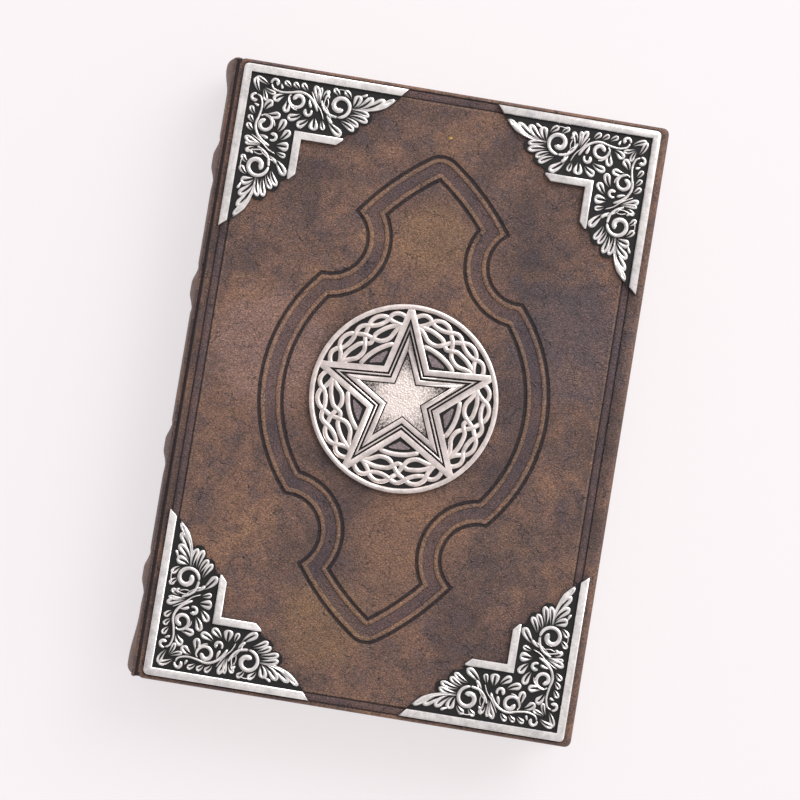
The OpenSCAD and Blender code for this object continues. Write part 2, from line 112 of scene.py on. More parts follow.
# %% Helpers for materials
def linear(code):
    """Linear RGBA of an sRGB hex value."""
    parts = [int(code[i:i + 2], 16) / 255 for i in (1, 3, 5)]
    return [p / 12.92 if p <= 0.04045 else ((p + 0.055) / 1.055) ** 2.4 for p in parts] + [1.0]


def feed(tree, node, inputs):
    """Gives inputs of a node a link or a value each."""
    for key, value in inputs.items():
        if isinstance(value, bpy.types.NodeSocket):
            tree.links.new(value, node.inputs[key])
        else:
            node.inputs[key].default_value = value


def add(tree, kind, inputs=None, stops=(), pick=0, **settings):
    """Adds a node, sets it, feeds it, fills a ramp's stops and gives back one output."""
    made = tree.nodes.new("ShaderNode" + kind)
    for key, value in settings.items():
        setattr(made, key, value)
    feed(tree, made, inputs or {})
    for i, (place, tone) in enumerate(stops):
        element = made.color_ramp.elements[i] if i < 2 else made.color_ramp.elements.new(place)
        element.position = place
        element.color = linear(tone)
    return made.outputs[pick]


def new_material(name):
    """An empty material with its shader, and the journal's own coordinates in millimetres."""
    made = bpy.data.materials.new(name)
    made.use_nodes = True
    tree = made.node_tree
    place = add(tree, "TexCoord", pick="Object")
    in_mm = add(tree, "VectorMath", {0: place, "Scale": 1 / MM}, operation="SCALE")
    return made, tree, tree.nodes["Principled BSDF"], in_mm


print("white is", linear("#ffffff"))

# %% [markdown]
# ## Leather
#
# The cover is vegetable-tanned hide that was sponged with dye, so its brown is cloudy: tan where
# the dye was thin, plum-grey where it pooled. The pores make a pebbled grain of rather less than
# a millimetre, and finer creases run slantwise through it, darkened as painted shade where they
# show. Heated tools pressed lines into it, and the damp leather burnt dark there, while the ridges
# between are a little lighter in colour. Each piece carries a small colour attribute that says
# where the tools went, and on the spine and the rolled edges also where shade and highlights are
# painted. The marks only tint the dye, and the grain goes over everything, because a tool doesn't
# flatten it.

# %% Mix the dye
# Sizes of the dye's clouds and spots in millimetres, and the browns from thick to thin dye
CLOUD_SIZE, SPOT_SIZE = 30.0, 7.0
DYE_STOPS = [
    (0.3, "#46383a"), (0.43, "#5f4840"), (0.52, "#74574a"), (0.62, "#87644f"), (0.76, "#977258"),
]
# Channel of the marks, colour and strength: sunken bands, lighter ridges and burnt lines. The
# spine and the covers' rolled edges use the same channels for painted shade and painted highlights
TOOL_AND_PAINTED_LIGHT_TINTS = [("Blue", "#4a3b42", 0.6), ("Green", "#94735a", 0.5), ("Red", "#21171c", 0.93)]
# Where the dye took differently: x, y and radius in millimetres, colour and strength
PATCHES = [
    (26, 118, 24, "#a07d70", 0.5), (128, 136, 26, "#514850", 0.5),
    (76, 165, 15, "#94714f", 0.45), (84, 62, 22, "#8c6850", 0.5),
    (60, 28, 18, "#93704e", 0.45), (118, 62, 16, "#483c3c", 0.4),
    (5, 154, 3, "#241b1b", 0.7), (76, 199.4, 0.75, "#d0a838", 1.0),
]


def dyed_tone(tree, place, spots):
    """The sponged dye: clouds of brown, spots where it pooled, and a few patches of their own."""
    clouds = add(tree, "TexNoise", {"Vector": place, "Scale": 1 / CLOUD_SIZE, "Detail": 5.0,
                                    "Roughness": 0.68, "Distortion": 0.4})
    dye = add(tree, "ValToRGB", {"Fac": clouds}, DYE_STOPS)
    pooled = add(tree, "MapRange", {"Value": spots, "From Min": 0.47, "From Max": 0.66,
                                    "To Max": 0.6})
    tone = add(tree, "MixRGB", {"Fac": pooled, "Color1": dye, "Color2": linear("#51454a")})
    for x, y, radius, colour, strength in PATCHES:
        apart = add(tree, "VectorMath", {0: place, 1: in_frame(x, y, BOOK_T) / MM},
                    operation="DISTANCE", pick="Value")
        ragged = add(tree, "Math", {0: spots, 1: -0.9 * radius, 2: apart},
                     operation="MULTIPLY_ADD")
        inside = add(tree, "MapRange", {"Value": ragged, "From Min": 0.1 * radius,
                                        "From Max": 0.6 * radius, "To Min": strength,
                                        "To Max": 0.0}, interpolation_type="SMOOTHSTEP")
        tone = add(tree, "MixRGB", {"Fac": inside, "Color1": tone, "Color2": linear(colour)})
    return tone


def tooled_and_painted_light_tone(tree, tone):
    """The dye, tinted where the marks say that a tool went, or where shade or a highlight is
    painted.
    """
    marks = add(tree, "Attribute", attribute_name="tooling_and_painted_light")
    # The channels carry tool marks, and on the spine and the edges also painted shade and
    # highlights
    channels = add(tree, "SeparateColor", {"Color": marks}).node.outputs
    for channel, colour, strength in TOOL_AND_PAINTED_LIGHT_TINTS:
        share = add(tree, "Math", {0: channels[channel], 1: strength}, operation="MULTIPLY")
        tone = add(tree, "MixRGB", {"Fac": share, "Color1": tone, "Color2": linear(colour)})
    return tone


print("patches in the dye:", len(PATCHES))

# %% Mix the leather
def leather_material(name):
    """Dyed calf: cloudy dye with tool marks and painted shade and highlights, a pebbled grain and a
    few creases darkened as painted shade.
    """
    made, tree, shader, place = new_material(name)
    spots = add(tree, "TexNoise", {"Vector": place, "Scale": 1 / SPOT_SIZE, "Detail": 4.0,
                                   "Roughness": 0.72})
    tone = tooled_and_painted_light_tone(tree, dyed_tone(tree, place, spots))
    # The grain: a noise bends the places of the pebbles, so that their net isn't regular
    bend = add(tree, "TexNoise", {"Vector": place, "Scale": 0.7, "Detail": 2.0}, pick="Color")
    bent = add(tree, "VectorMath", {0: bend, 1: (1.1, 1.1, 1.1), 2: place},
               operation="MULTIPLY_ADD")
    slant = add(tree, "Mapping", {"Vector": bent, "Rotation": (0, 0, math.radians(35)),
                                  "Scale": (0.75, 1.3, 1.0)})
    pebbles = add(tree, "TexVoronoi", {"Vector": slant, "Scale": 1.3}, feature="DISTANCE_TO_EDGE")
    net = add(tree, "MapRange", {"Value": pebbles, "From Max": 0.22})
    fine = add(tree, "TexNoise", {"Vector": slant, "Scale": 1.9, "Detail": 2.0, "Roughness": 0.75})
    grain = add(tree, "Math", {0: net, 1: 0.3, 2: fine}, operation="MULTIPLY_ADD")
    speckle = add(tree, "MapRange", {"Value": grain, "From Min": 0.43, "From Max": 1.01,
                                     "To Min": 0.36, "To Max": 1.62}, clamp=False)
    # Longer creases, a few tenths of a millimetre wide, which show only here and there; where they
    # show, they darken the colour as painted shade and dent the bump
    wander = add(tree, "TexNoise", {"Vector": place, "Scale": 0.12, "Detail": 3.0}, pick="Color")
    slack = add(tree, "VectorMath", {0: wander, 1: (12, 12, 12), 2: bent},
                operation="MULTIPLY_ADD")
    folds = add(tree, "TexVoronoi", {"Vector": slack, "Scale": 0.085}, feature="DISTANCE_TO_EDGE")
    fold = add(tree, "MapRange", {"Value": folds, "From Max": 0.035, "To Min": 1.0, "To Max": 0.0})
    shown = add(tree, "MapRange", {"Value": spots, "From Min": 0.41, "From Max": 0.59,
                                   "To Max": 0.6})
    crease = add(tree, "Math", {0: fold, 1: shown}, operation="MULTIPLY")
    # The creases darken the colour here as painted shade; the speckle of the grain is the leather's
    # own
    light = add(tree, "Math", {0: crease, 1: -0.6, 2: speckle}, operation="MULTIPLY_ADD")
    coloured = add(tree, "VectorMath", {0: tone, "Scale": light}, operation="SCALE")
    height = add(tree, "Math", {0: crease, 1: -0.8, 2: grain}, operation="MULTIPLY_ADD")
    gloss = add(tree, "MapRange", {"Value": fine, "From Min": 0.3, "From Max": 0.7,
                                   "To Min": 0.6, "To Max": 0.38})
    bump = add(tree, "Bump", {"Height": height, "Strength": 0.9, "Distance": 0.35 * MM})
    feed(tree, shader, {"Base Color": coloured, "Roughness": gloss, "Normal": bump,
                        "IOR": 1.5, "Specular IOR Level": 0.42})
    return made


leather = leather_material("dyed calf leather")
print("mixed", leather.name)

# %% [markdown]
# ## Antique silver
#
# The corners and the medallion are cast, silver plated, dipped in a black patina and polished
# again, so only the hollows stay black. The height of a point above the leather therefore says
# how bright it is. The cast skin is never quite flat, which breaks up its reflections.

# %% Mix the silver and the patina
PATINA = "#110f0f"
MEDAL_CENTRE = in_frame(CENTRE.x, CENTRE.y, BOOK_T + 1.0) / MM


def silver_material(name, bright, low, high):
    """Polished silver over black patina, which fills what lies low on the cover, in millimetres."""
    made, tree, shader, place = new_material(name)
    depth = add(tree, "SeparateXYZ", {"Vector": place}, pick="Z")
    blotches = add(tree, "TexNoise", {"Vector": place, "Scale": 0.8, "Detail": 4.0,
                                      "Roughness": 0.7})
    worn = add(tree, "Math", {0: blotches, 1: 0.25, 2: depth}, operation="MULTIPLY_ADD")
    polish = add(tree, "MapRange", {"Value": worn, "From Min": BOOK_T + low,
                                    "From Max": BOOK_T + high}, interpolation_type="SMOOTHSTEP")
    fine = add(tree, "TexNoise", {"Vector": place, "Scale": 0.35, "Detail": 4.0, "Roughness": 0.6})
    stain = add(tree, "MapRange", {"Value": fine, "From Min": 0.34, "From Max": 0.6,
                                   "To Min": 0.76, "To Max": 1.0})
    tone = add(tree, "VectorMath", {0: linear(bright)[:3], "Scale": stain}, operation="SCALE")
    colour = add(tree, "MixRGB", {"Fac": polish, "Color1": linear(PATINA), "Color2": tone})
    rough = add(tree, "MapRange", {"Value": polish, "To Min": 0.62, "To Max": 0.22})
    metal = add(tree, "MapRange", {"Value": polish, "To Min": 0.25, "To Max": 1.0})
    bump = add(tree, "Bump", {"Height": fine, "Strength": 0.18, "Distance": 0.5 * MM})
    feed(tree, shader, {"Base Color": colour, "Roughness": rough, "Metallic": metal,
                        "Normal": bump})
    return made


def stippled_material(name, bright, dull, inner, outer):
    """Punched silver: worn bright in the medallion's middle, dark between the dots farther out."""
    made, tree, shader, place = new_material(name)
    apart = add(tree, "VectorMath", {0: place, 1: MEDAL_CENTRE}, operation="SUBTRACT")
    radius = add(tree, "VectorMath", {0: apart}, operation="LENGTH", pick="Value")
    # The punch leaves dots half a millimetre apart
    dots = add(tree, "TexVoronoi", {"Vector": place, "Scale": 1.6}, feature="F1")
    cloud = add(tree, "TexNoise", {"Vector": place, "Scale": 0.45, "Detail": 3.0})
    worn = add(tree, "MapRange", {"Value": radius, "From Min": inner, "From Max": outer,
                                  "To Min": 0.95, "To Max": 0.2})
    uneven = add(tree, "Math", {0: cloud, 1: 0.7, 2: worn}, operation="MULTIPLY_ADD")
    level = add(tree, "Math", {0: dots, 1: -0.75, 2: uneven}, operation="MULTIPLY_ADD")
    polish = add(tree, "MapRange", {"Value": level, "From Min": 0.05, "From Max": 0.85})
    colour = add(tree, "MixRGB", {"Fac": polish, "Color1": linear(dull), "Color2": linear(bright)})
    rough = add(tree, "MapRange", {"Value": polish, "To Min": 0.65, "To Max": 0.38})
    metal = add(tree, "MapRange", {"Value": polish, "To Min": 0.5, "To Max": 1.0})
    bump = add(tree, "Bump", {"Height": dots, "Strength": 0.5, "Distance": 0.2 * MM})
    feed(tree, shader, {"Base Color": colour, "Roughness": rough, "Metallic": metal,
                        "Normal": bump})
    return made


silver = silver_material("antique silver plate", "#f6f3f0", 0.97, 1.35)
medal_silver = silver_material("antique silver medallion", "#f3e8e2", 1.05, 1.4)
heart_silver = stippled_material("punched silver", "#f2e6df", "#332e2c", 4.5, 14.0)
pane_silver = stippled_material("punched silver of the windows", "#8f8284", "#463f42", 0.0, 60.0)
print("mixed", silver.name, "and", medal_silver.name)

# %% [markdown]
# ## Helpers for the bench
#
# Most shapes on this journal are strips: a leaf, a scroll, a woven band and even a cover are a
# sheet whose rows follow a path. `bmesh.ops.create_grid` makes such a sheet, and a function then
# says where its point at u, v belongs. One more function finishes a piece: it merges the seam,
# closes the ends, turns the faces outwards, moves the mesh into the frame and hangs it on its
# body.

# %% Helpers for meshes
def sheet(bm, nu, nv, shape):
    """A sheet of nu by nv faces, with the point at u, v, both from 0 to 1, placed by shape."""
    made = bmesh.ops.create_grid(bm, x_segments=nu, y_segments=nv, size=0.5)["verts"]
    for vert in made:
        u, v = round((vert.co.x + 0.5) * nu) / nu, round((vert.co.y + 0.5) * nv) / nv
        vert.co = shape(u, v)
    return made


def finish_piece(name, bm, material, body, slot, *nodes, sharp=40, merge=0.002):
    """Makes an object of a bmesh drawn in millimetres, riding on a body, for the named nodes."""
    bmesh.ops.remove_doubles(bm, verts=bm.verts, dist=merge)
    bmesh.ops.dissolve_degenerate(bm, edges=bm.edges, dist=merge / 2)
    bmesh.ops.holes_fill(bm, edges=[edge for edge in bm.edges if edge.is_boundary])
    bmesh.ops.recalc_face_normals(bm, faces=bm.faces)
    bmesh.ops.scale(bm, vec=(MM, MM, MM), verts=bm.verts)
    bmesh.ops.translate(bm, vec=ORIGIN, verts=bm.verts)
    mesh = bpy.data.meshes.new(name)
    bm.to_mesh(mesh)
    bm.free()
    mesh.polygons.foreach_set("use_smooth", [True] * len(mesh.polygons))
    mesh.set_sharp_from_angle(angle=math.radians(sharp))
    for finish in material if isinstance(material, list) else [material]:
        mesh.materials.append(finish)
    piece = bpy.data.objects.new(name, mesh)
    bpy.context.scene.collection.objects.link(piece)
    if body:
        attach(piece, body)
    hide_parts(*nodes)
    triangles = sum(len(face.vertices) - 2 for face in mesh.polygons)
    print("%-22s %6d triangles" % (name, triangles))
    return piece


def blend_values(a, b, t):
    """The value a share t of the way from a to b."""
    return a + (b - a) * t


def smooth(t):
    """A share of 0 to 1 that starts and ends gently."""
    t = min(max(t, 0.0), 1.0)
    return t * t * (3 - 2 * t)


def along(table, t):
    """The value at t of a table of (place, value) rows, with straight lines between the rows."""
    for (t0, v0), (t1, v1) in zip(table, table[1:]):
        if t <= t1:
            return blend_values(v0, v1, 0 if t1 == t0 else max(t - t0, 0) / (t1 - t0))
    return table[-1][1]


print("helpers ready")

# %% [markdown]
# ## The outline that was pressed round the medallion
#
# The binder's strap has two pointed ends, two bowed sides and four round notches. All its lines
# are the same outline drawn in by a little more each time, so it pays to work it out once as
# arcs: a side arc, the arc of a notch, the arc of a point, and a small round tip. Where two arcs
# meet is school geometry, the crossing of two circles.

# %% Work out the strap
SIDE_R, SIDE_X = 58.0, 8.0
POINT_R, POINT_X, POINT_Y, TIP_R = 95.0, 50.28, 5.7, 8.0
NOTCH_R, NOTCH = 12.0, Vector((33.5, 50.8))


def crossing(c0, r0, c1, r1, side):
    """Where two circles cross, on one side of the line between their centres."""
    gap = (c1 - c0).length
    way = (c1 - c0) / gap
    reach = (r0 * r0 - r1 * r1 + gap * gap) / (2 * gap)
    rise = math.sqrt(max(r0 * r0 - reach * reach, 0.0))
    return c0 + way * reach + side * rise * Vector((-way.y, way.x))


def on_arc(centre, start, end, t):
    """A point a share t along the short arc from start to end about a centre."""
    a = math.atan2(start.y - centre.y, start.x - centre.x)
    turn = math.atan2(end.y - centre.y, end.x - centre.x) - a
    turn = (turn + math.pi) % (2 * math.pi) - math.pi
    way = Vector((math.cos(a + turn * t), math.sin(a + turn * t)))
    return centre + (start - centre).length * way


def strap_quarter(inset):
    """The arcs of a quarter of the strap, from its side to its tip: centre, start and end."""
    side_c, point_c = Vector((-SIDE_X, 0)), Vector((-POINT_X, POINT_Y))
    tip_r = max(TIP_R - inset, 0.05)
    tip_c = Vector((0, POINT_Y + math.sqrt((POINT_R - inset - tip_r) ** 2 - POINT_X ** 2)))
    side_end = crossing(side_c, SIDE_R - inset, NOTCH, NOTCH_R + inset, -1)
    notch_end = crossing(NOTCH, NOTCH_R + inset, point_c, POINT_R - inset, -1)
    point_end = point_c + (tip_c - point_c).normalized() * (POINT_R - inset)
    return [
        (side_c, side_c + Vector((SIDE_R - inset, 0)), side_end),
        (NOTCH, side_end, notch_end),
        (point_c, notch_end, point_end),
        (tip_c, point_end, tip_c + Vector((0, tip_r))),
    ]


STRAP_STEPS = [26, 22, 30, 6]
QUARTER = sum(STRAP_STEPS)
for inset in (0.0, 9.0):
    arcs = strap_quarter(inset)
    print("inset %.0f: notch from (%.1f, %.1f) to (%.1f, %.1f), tip at %.1f"
          % (inset, *arcs[1][1], *arcs[1][2], arcs[3][2].y))

# %% [markdown]
# ## The leather over a board
#
# A cover is boarded leather: it lies flat outside, rolls round three edges of the board, and is
# turned in and glued down inside. Seen as rings round the medallion it is one sheet, from the
# middle of the outside to the middle of the inside. Each ring is either the strap drawn in by
# some amount or a rectangle, and the rows that carry a pressed line lie exactly where its edges
# are, so the line is crisp with few faces.

# %% Rings of a cover
# The step of a quarter at which a rectangle turns its corner, and how far the border stands in
CORNER_STEP = 37
BORDER_JOINT, BORDER_FORE, BORDER_END = 2.6, 4.9, 1.3


def strap_ring(inset):
    """A ring that follows the strap's outline, drawn in by inset."""
    quarter = []
    for (centre, start, end), steps in zip(strap_quarter(inset), STRAP_STEPS):
        quarter += [on_arc(centre, start, end, i / steps) for i in range(steps)]
    quarter.append(Vector((0, strap_quarter(inset)[3][2].y)))
    ring = [Vector(p) for p in quarter[:-1]]
    ring += [Vector((-p.x, p.y)) for p in reversed(quarter[1:])]
    ring += [Vector((-p.x, -p.y)) for p in quarter[:-1]]
    ring += [Vector((p.x, -p.y)) for p in reversed(quarter[1:])]
    return ring


def side_place(share, length, soft):
    """Distance left to the corner, with its rows close together there, and the corner's turn."""
    left = length * (1 - share) ** 1.7
    return left, max(0.0, 1 - left / soft) if soft else 0.0


def rect_ring(x0, x1, y0, y1, soft=0.0):
    """A rectangle on the cover as a ring, with its corners rounded by a radius."""
    ring = []
    for index in range(4 * QUARTER):
        quadrant, step = divmod(index, QUARTER)
        step = step if quadrant % 2 == 0 else QUARTER - step
        reach = Vector((x1 - CENTRE.x if quadrant in (0, 3) else CENTRE.x - x0,
                        y1 - CENTRE.y if quadrant in (0, 1) else CENTRE.y - y0))
        if step <= CORNER_STEP:
            left, turn = side_place(step / CORNER_STEP, reach.y, soft)
            angle = math.pi / 4 * turn
            place = Vector((reach.x, reach.y - left))
        else:
            left, turn = side_place((QUARTER - step) / (QUARTER - CORNER_STEP), reach.x, soft)
            angle = math.pi / 2 - math.pi / 4 * turn
            place = Vector((reach.x - left, reach.y))
        if turn > 0:
            place = reach - Vector((soft, soft)) + soft * Vector((math.cos(angle), math.sin(angle)))
        signs = Vector((1 if quadrant in (0, 3) else -1, 1 if quadrant in (0, 1) else -1))
        ring.append(place * signs)
    return ring


def border_rect(d):
    """The pressed border, drawn in by d: it hugs the head and the tail, less so the other sides."""
    return rect_ring(BORDER_JOINT + d, COVER_W - BORDER_FORE - d, BORDER_END + d,
                     COVER_H - BORDER_END - d, 0.5)


def notches_bridged(ring):
    """The strap's outline with a straight line across the mouth of each notch."""
    bridged = [p.copy() for p in ring]
    for quadrant in range(4):
        steps = range(STRAP_STEPS[0], STRAP_STEPS[0] + STRAP_STEPS[1] + 1)
        places = [QUARTER * quadrant + (i if quadrant % 2 == 0 else QUARTER - i) for i in steps]
        for k, index in enumerate(places):
            bridged[index] = ring[places[0]].lerp(ring[places[-1]], k / STRAP_STEPS[1])
    return bridged


def mixed(a, b, t):
    """The ring a share t of the way from ring a to ring b."""
    return [p.lerp(q, t) for p, q in zip(a, b)]


print("points in a ring:", len(border_rect(0)))

# %% [markdown]
# ## Pressing the lines
#
# A row says how far the ring is drawn in, how deep the tool sank there and what it left: a burnt
# line, a lighter ridge or a dull sunken band. The marks go into a colour attribute with one
# channel each, which the leather's recipe mixes in.

# %% Rows of the pressed lines
LINE, RIDGE, BAND, NONE = (1, 0, 0), (0, 1, 0), (0, 0, 1), (0, 0, 0)


def part_of(mark, share):
    """A weaker mark, for the foot of a line or a ridge."""
    return tuple(channel * share for channel in mark)


STRAP_ROWS = [
    (9.35, 0.0, NONE), (9.12, -0.03, NONE), (8.9, -0.42, LINE), (8.02, -0.44, LINE),
    (7.82, -0.06, part_of(LINE, 0.3)), (7.6, 0.02, RIDGE), (7.05, 0.08, RIDGE),
    (6.5, 0.0, part_of(RIDGE, 0.6)), (6.3, -0.24, part_of(LINE, 0.75)), (6.0, -0.28, BAND),
    (4.5, -0.32, BAND), (3.05, -0.28, BAND), (2.75, -0.24, part_of(LINE, 0.75)),
    (2.55, 0.0, part_of(RIDGE, 0.6)), (1.95, 0.08, RIDGE), (1.4, 0.02, RIDGE),
    (1.18, -0.06, part_of(LINE, 0.3)), (0.98, -0.44, LINE), (0.1, -0.42, LINE),
    (-0.12, -0.03, NONE), (-0.35, 0.0, NONE),
]
BORDER_ROWS = [
    (4.1, 0.0, NONE), (3.6, 0.05, part_of(RIDGE, 0.7)), (3.25, -0.02, part_of(RIDGE, 0.4)),
    (3.1, -0.36, LINE), (2.75, -0.36, LINE), (2.55, -0.2, BAND), (1.6, -0.22, BAND),
    (0.65, -0.2, BAND), (0.45, -0.36, LINE), (0.15, -0.36, LINE),
    (0.0, -0.04, part_of(LINE, 0.5)),
]
# The roll over the outer edge in degrees, and the radii of the outer and the inner edge
EDGE_STEPS = [0, 18, 36, 54, 72, 90]
EDGE_R, INNER_EDGE_R = 1.6, 0.5
print("rows:", len(STRAP_ROWS), "on the strap,", len(BORDER_ROWS), "on the border")

# %% Build a cover's leather
def rolled_rings():
    """The rings where the leather rolls over the edges of the board, with a painted highlight along
    the roll.
    """
    rows = []
    for angle in EDGE_STEPS:
        out, down = math.sin(math.radians(angle)), 1 - math.cos(math.radians(angle))
        ring = rect_ring(0.8 - 0.5 * out, COVER_W - 2 + 2 * out, 1.2 - 1.2 * out,
                         COVER_H - 1.2 + 1.2 * out, 1.6 + 0.6 * out)
        # Painted highlight: lighter towards the middle of the roll over the edge
        edge_highlight = part_of(RIDGE, 0.35 * math.sin(math.radians(2 * angle)))
        rows.append((ring, -EDGE_R * down, edge_highlight))
    return rows


def lining_rings(first):
    """The rings of the turn-ins and of the inside of the leather, which ends under the first."""
    rows, low = [], -LEATHER_T - BOARD_T - TURNIN_T
    for angle in (0, 45, 90):
        step = INNER_EDGE_R * (1 - math.cos(math.radians(angle)))
        down = INNER_EDGE_R * math.sin(math.radians(angle))
        ring = rect_ring(0.3, COVER_W - step, step, COVER_H - step, 2.2)
        rows.append((ring, low + INNER_EDGE_R - down, NONE))
    for inset, x0, z, soft in ((6, 0.3, low, 0), (TURNIN_W, 0.3, low, 0),
                               (TURNIN_W, 0.8, low + TURNIN_T, 0),
                               (1.2, 0.8, low + TURNIN_T, 1), (1.2, 0.8, -LEATHER_T, 1)):
        rows.append((rect_ring(x0, COVER_W - inset, inset, COVER_H - inset, soft), z, NONE))
    return rows + [(mixed(rows[-1][0], first, share), -LEATHER_T, NONE) for share in (0.5, 1.0)]


def cover_rings(strap):
    """A cover's rings from the middle outward, as ring, depth and mark, and how many lie flat."""
    outer = strap_ring(STRAP_ROWS[0][0])
    # Inside the strap the rings narrow to a line from tip to tip, so that none folds at a notch
    rows = [([Vector((share * p.x, p.y)) for p in outer], 0.0, NONE)
            for share in (0.0, 0.15, 0.3, 0.45, 0.6, 0.75, 0.87, 0.95)]
    if strap:
        rows += [(strap_ring(d), z, mark) for d, z, mark in STRAP_ROWS]
        outer = strap_ring(STRAP_ROWS[-1][0])
    bridged, inner_border = notches_bridged(outer), border_rect(BORDER_ROWS[0][0])
    rows += [(mixed(outer, bridged, t), 0.0, NONE) for t in (0.15, 0.4, 0.7, 1.0)]
    rows += [(mixed(bridged, inner_border, t), 0.0, NONE)
             for t in (0.06, 0.14, 0.24, 0.35, 0.46, 0.57, 0.68, 0.79, 0.89, 0.96)]
    rows += [(border_rect(d), z, mark) for d, z, mark in BORDER_ROWS]
    return rows + rolled_rings() + lining_rings(rows[0][0]), len(rows)


def hide_swell(x, y):
    """The gentle unevenness of glued leather, in millimetres."""
    slow = math.sin(x / 17 + 1.3) * math.cos(y / 23 - 0.4) + 0.6 * math.sin(x / 9 - y / 13)
    return 0.05 * slow - 0.05


def build_cover(name, strap, flipped, body, *nodes):
    """The leather of a cover, lying on the front of the book or, flipped, on its back."""
    rows, flat_rows = cover_rings(strap)
    bm = bmesh.new()
    marks = bm.verts.layers.float_color.new("tooling_and_painted_light")
    count = 4 * QUARTER
    made = bmesh.ops.create_grid(bm, x_segments=count, y_segments=len(rows) - 1, size=0.5)["verts"]
    for vert in made:
        i = round((vert.co.x + 0.5) * count) % count
        j = round((vert.co.y + 0.5) * (len(rows) - 1))
        ring, depth, mark = rows[j]
        x, y = ring[i].x + CENTRE.x, ring[i].y + CENTRE.y
        if j < flat_rows:
            depth += hide_swell(x, y)
        # The book lies on its back, where nothing can stand out from the cover
        z = BOOK_T + (min(depth, 0.0) if flipped else depth)
        vert.co = (x, y, BOOK_T - z if flipped else z)
        vert[marks] = (*mark, 1.0)
    finish_piece(name, bm, leather, body, "leather", *nodes, sharp=55)


build_cover("front_cover_leather", True, False, "front_cover", "front_leather")
build_cover("back_cover_leather", False, True, "back_cover", "back_leather")

# %% [markdown]
# ## The spine
#
# The spine's leather is shaped wet: it is drawn over the round of the card, pinched over four
# cords, rolled into a cap at each end and pressed into a bead along each joint. One closed
# section with a bead at either end is swept from tail to head. Its outer side swells at the
# cords and the caps, and near the ends it rolls over to meet its inner side.

# %% Shape the spine's section
SPINE_AXIS, SPINE_R, INNER_R = 35.7, 39.0, 37.8
BAND_AXIS, BAND_R = 24.764, 29.264
BEAD_X, BEAD_HALF, BEAD_R = -1.0, 14.5, 0.78
BANDS = [180.0, 135.0, 80.0, 35.0]
HEAD_CAP, TAIL_CAP = 213.0, 3.2
VOID_LOW, VOID_HIGH = 1.2, 213.8


def arc_x(axis, radius, z):
    """How far back a round of the spine lies at a height from the middle."""
    return axis - math.sqrt(radius * radius - z * z)


def swelling(y):
    """How far the leather has risen from the plain round to the round of the bands, 0 to 1."""
    cords = max(smooth((6.4 - abs(y - at)) / 4.6) for at in BANDS)
    drawn = sum(-0.22 * smooth(1 - abs(abs(y - at) - 7.2) / 1.6) for at in BANDS)
    head = 1.3 * smooth((y - 203.5) / 8.5)
    tail = smooth((20.5 - y) / 15.0)
    return max(cords, head, tail) + drawn


def outer_x(z, y):
    """The outside of the spine's leather at a height from the middle and a place along it."""
    plain, band = arc_x(SPINE_AXIS, SPINE_R, z), arc_x(BAND_AXIS, BAND_R, min(abs(z), 13.5))
    return plain + min(band - plain, 0.0) * swelling(y)


def middle_share(z):
    """How near a height is to the middle of the spine: 0 at its shoulders, 1 well inside."""
    return smooth((13.5 - abs(z)) / 5.0)


# Heights and turns of the points round the section, and a place between two bands
OUTER_Z = [12.4 - 24.8 * i / 44 for i in range(45)]
INNER_Z = [-11.6 + 23.2 * i / 16 for i in range(17)]
BEAD_TURNS = [-20 + 24 * i for i in range(10)]
PLAIN_Y = 60.0
print("points round the section:", len(OUTER_Z) + len(INNER_Z) + 2 * len(BEAD_TURNS) + 2)

# %% Sweep the spine
def spine_section(y, roll, hollow):
    """The closed section at y; roll is the turn of the cap in degrees, hollow that it is open."""
    turn = math.radians(abs(roll))

    def placed(x, z):
        """A point of the section, drawn towards the end of the spine where the cap rolls over."""
        if not roll:
            return Vector((x, y, MID_Z + z))
        base, end = (HEAD_CAP, COVER_H + middle_share(z)) if roll > 0 else (TAIL_CAP, 0.0)
        return Vector((x, base + (end - base) * math.sin(turn), MID_Z + z))

    bead_r = BEAD_R * (math.cos(turn) if abs(roll) > 60 else 1.0)
    bead = [(bead_r * math.cos(math.radians(a)), bead_r * math.sin(math.radians(a)))
            for a in BEAD_TURNS]
    upper = [placed(BEAD_X + x, BEAD_HALF + z) for x, z in bead]
    lower = [placed(BEAD_X + x, -(BEAD_HALF + z)) for x, z in reversed(bead)]
    depths = [blend_values(0.6, 3.0, middle_share(z)) for z in OUTER_Z]
    outer = [placed(outer_x(z, y) + depth * (1 - math.cos(turn)), z)
             for z, depth in zip(OUTER_Z, depths)]
    inner = []
    for z in INNER_Z:
        rolled = outer_x(z, y) + blend_values(0.6, 3.0, middle_share(z)) * (1 + math.cos(turn))
        inner.append(placed(arc_x(SPINE_AXIS, INNER_R, z) if hollow else rolled, z))
    return upper + outer + lower + inner


low_turn = math.degrees(math.asin((TAIL_CAP - VOID_LOW) / TAIL_CAP))
rows = [(TAIL_CAP, -turn, turn < low_turn) for turn in (90, 80, 70, 60, 50, low_turn + 0.01)]
rows += [(TAIL_CAP, -turn, True) for turn in (low_turn, 25, 12)]
y = TAIL_CAP
while y < HEAD_CAP - 0.5:
    rows.append((y, 0, True))
    y += 0.8 if min(abs(y - at) for at in BANDS) < 10 else 1.2 if y > 200 or y < 20 else 3.0
high_turn = math.degrees(math.asin((VOID_HIGH - HEAD_CAP) / (COVER_H + 1 - HEAD_CAP)))
rows += [(HEAD_CAP, 0.01, True), (HEAD_CAP, high_turn, True), (HEAD_CAP, high_turn + 0.01, False)]
rows += [(HEAD_CAP, turn, False) for turn in (30, 42, 54, 66, 78, 90)]
sections = [spine_section(*row) for row in rows]

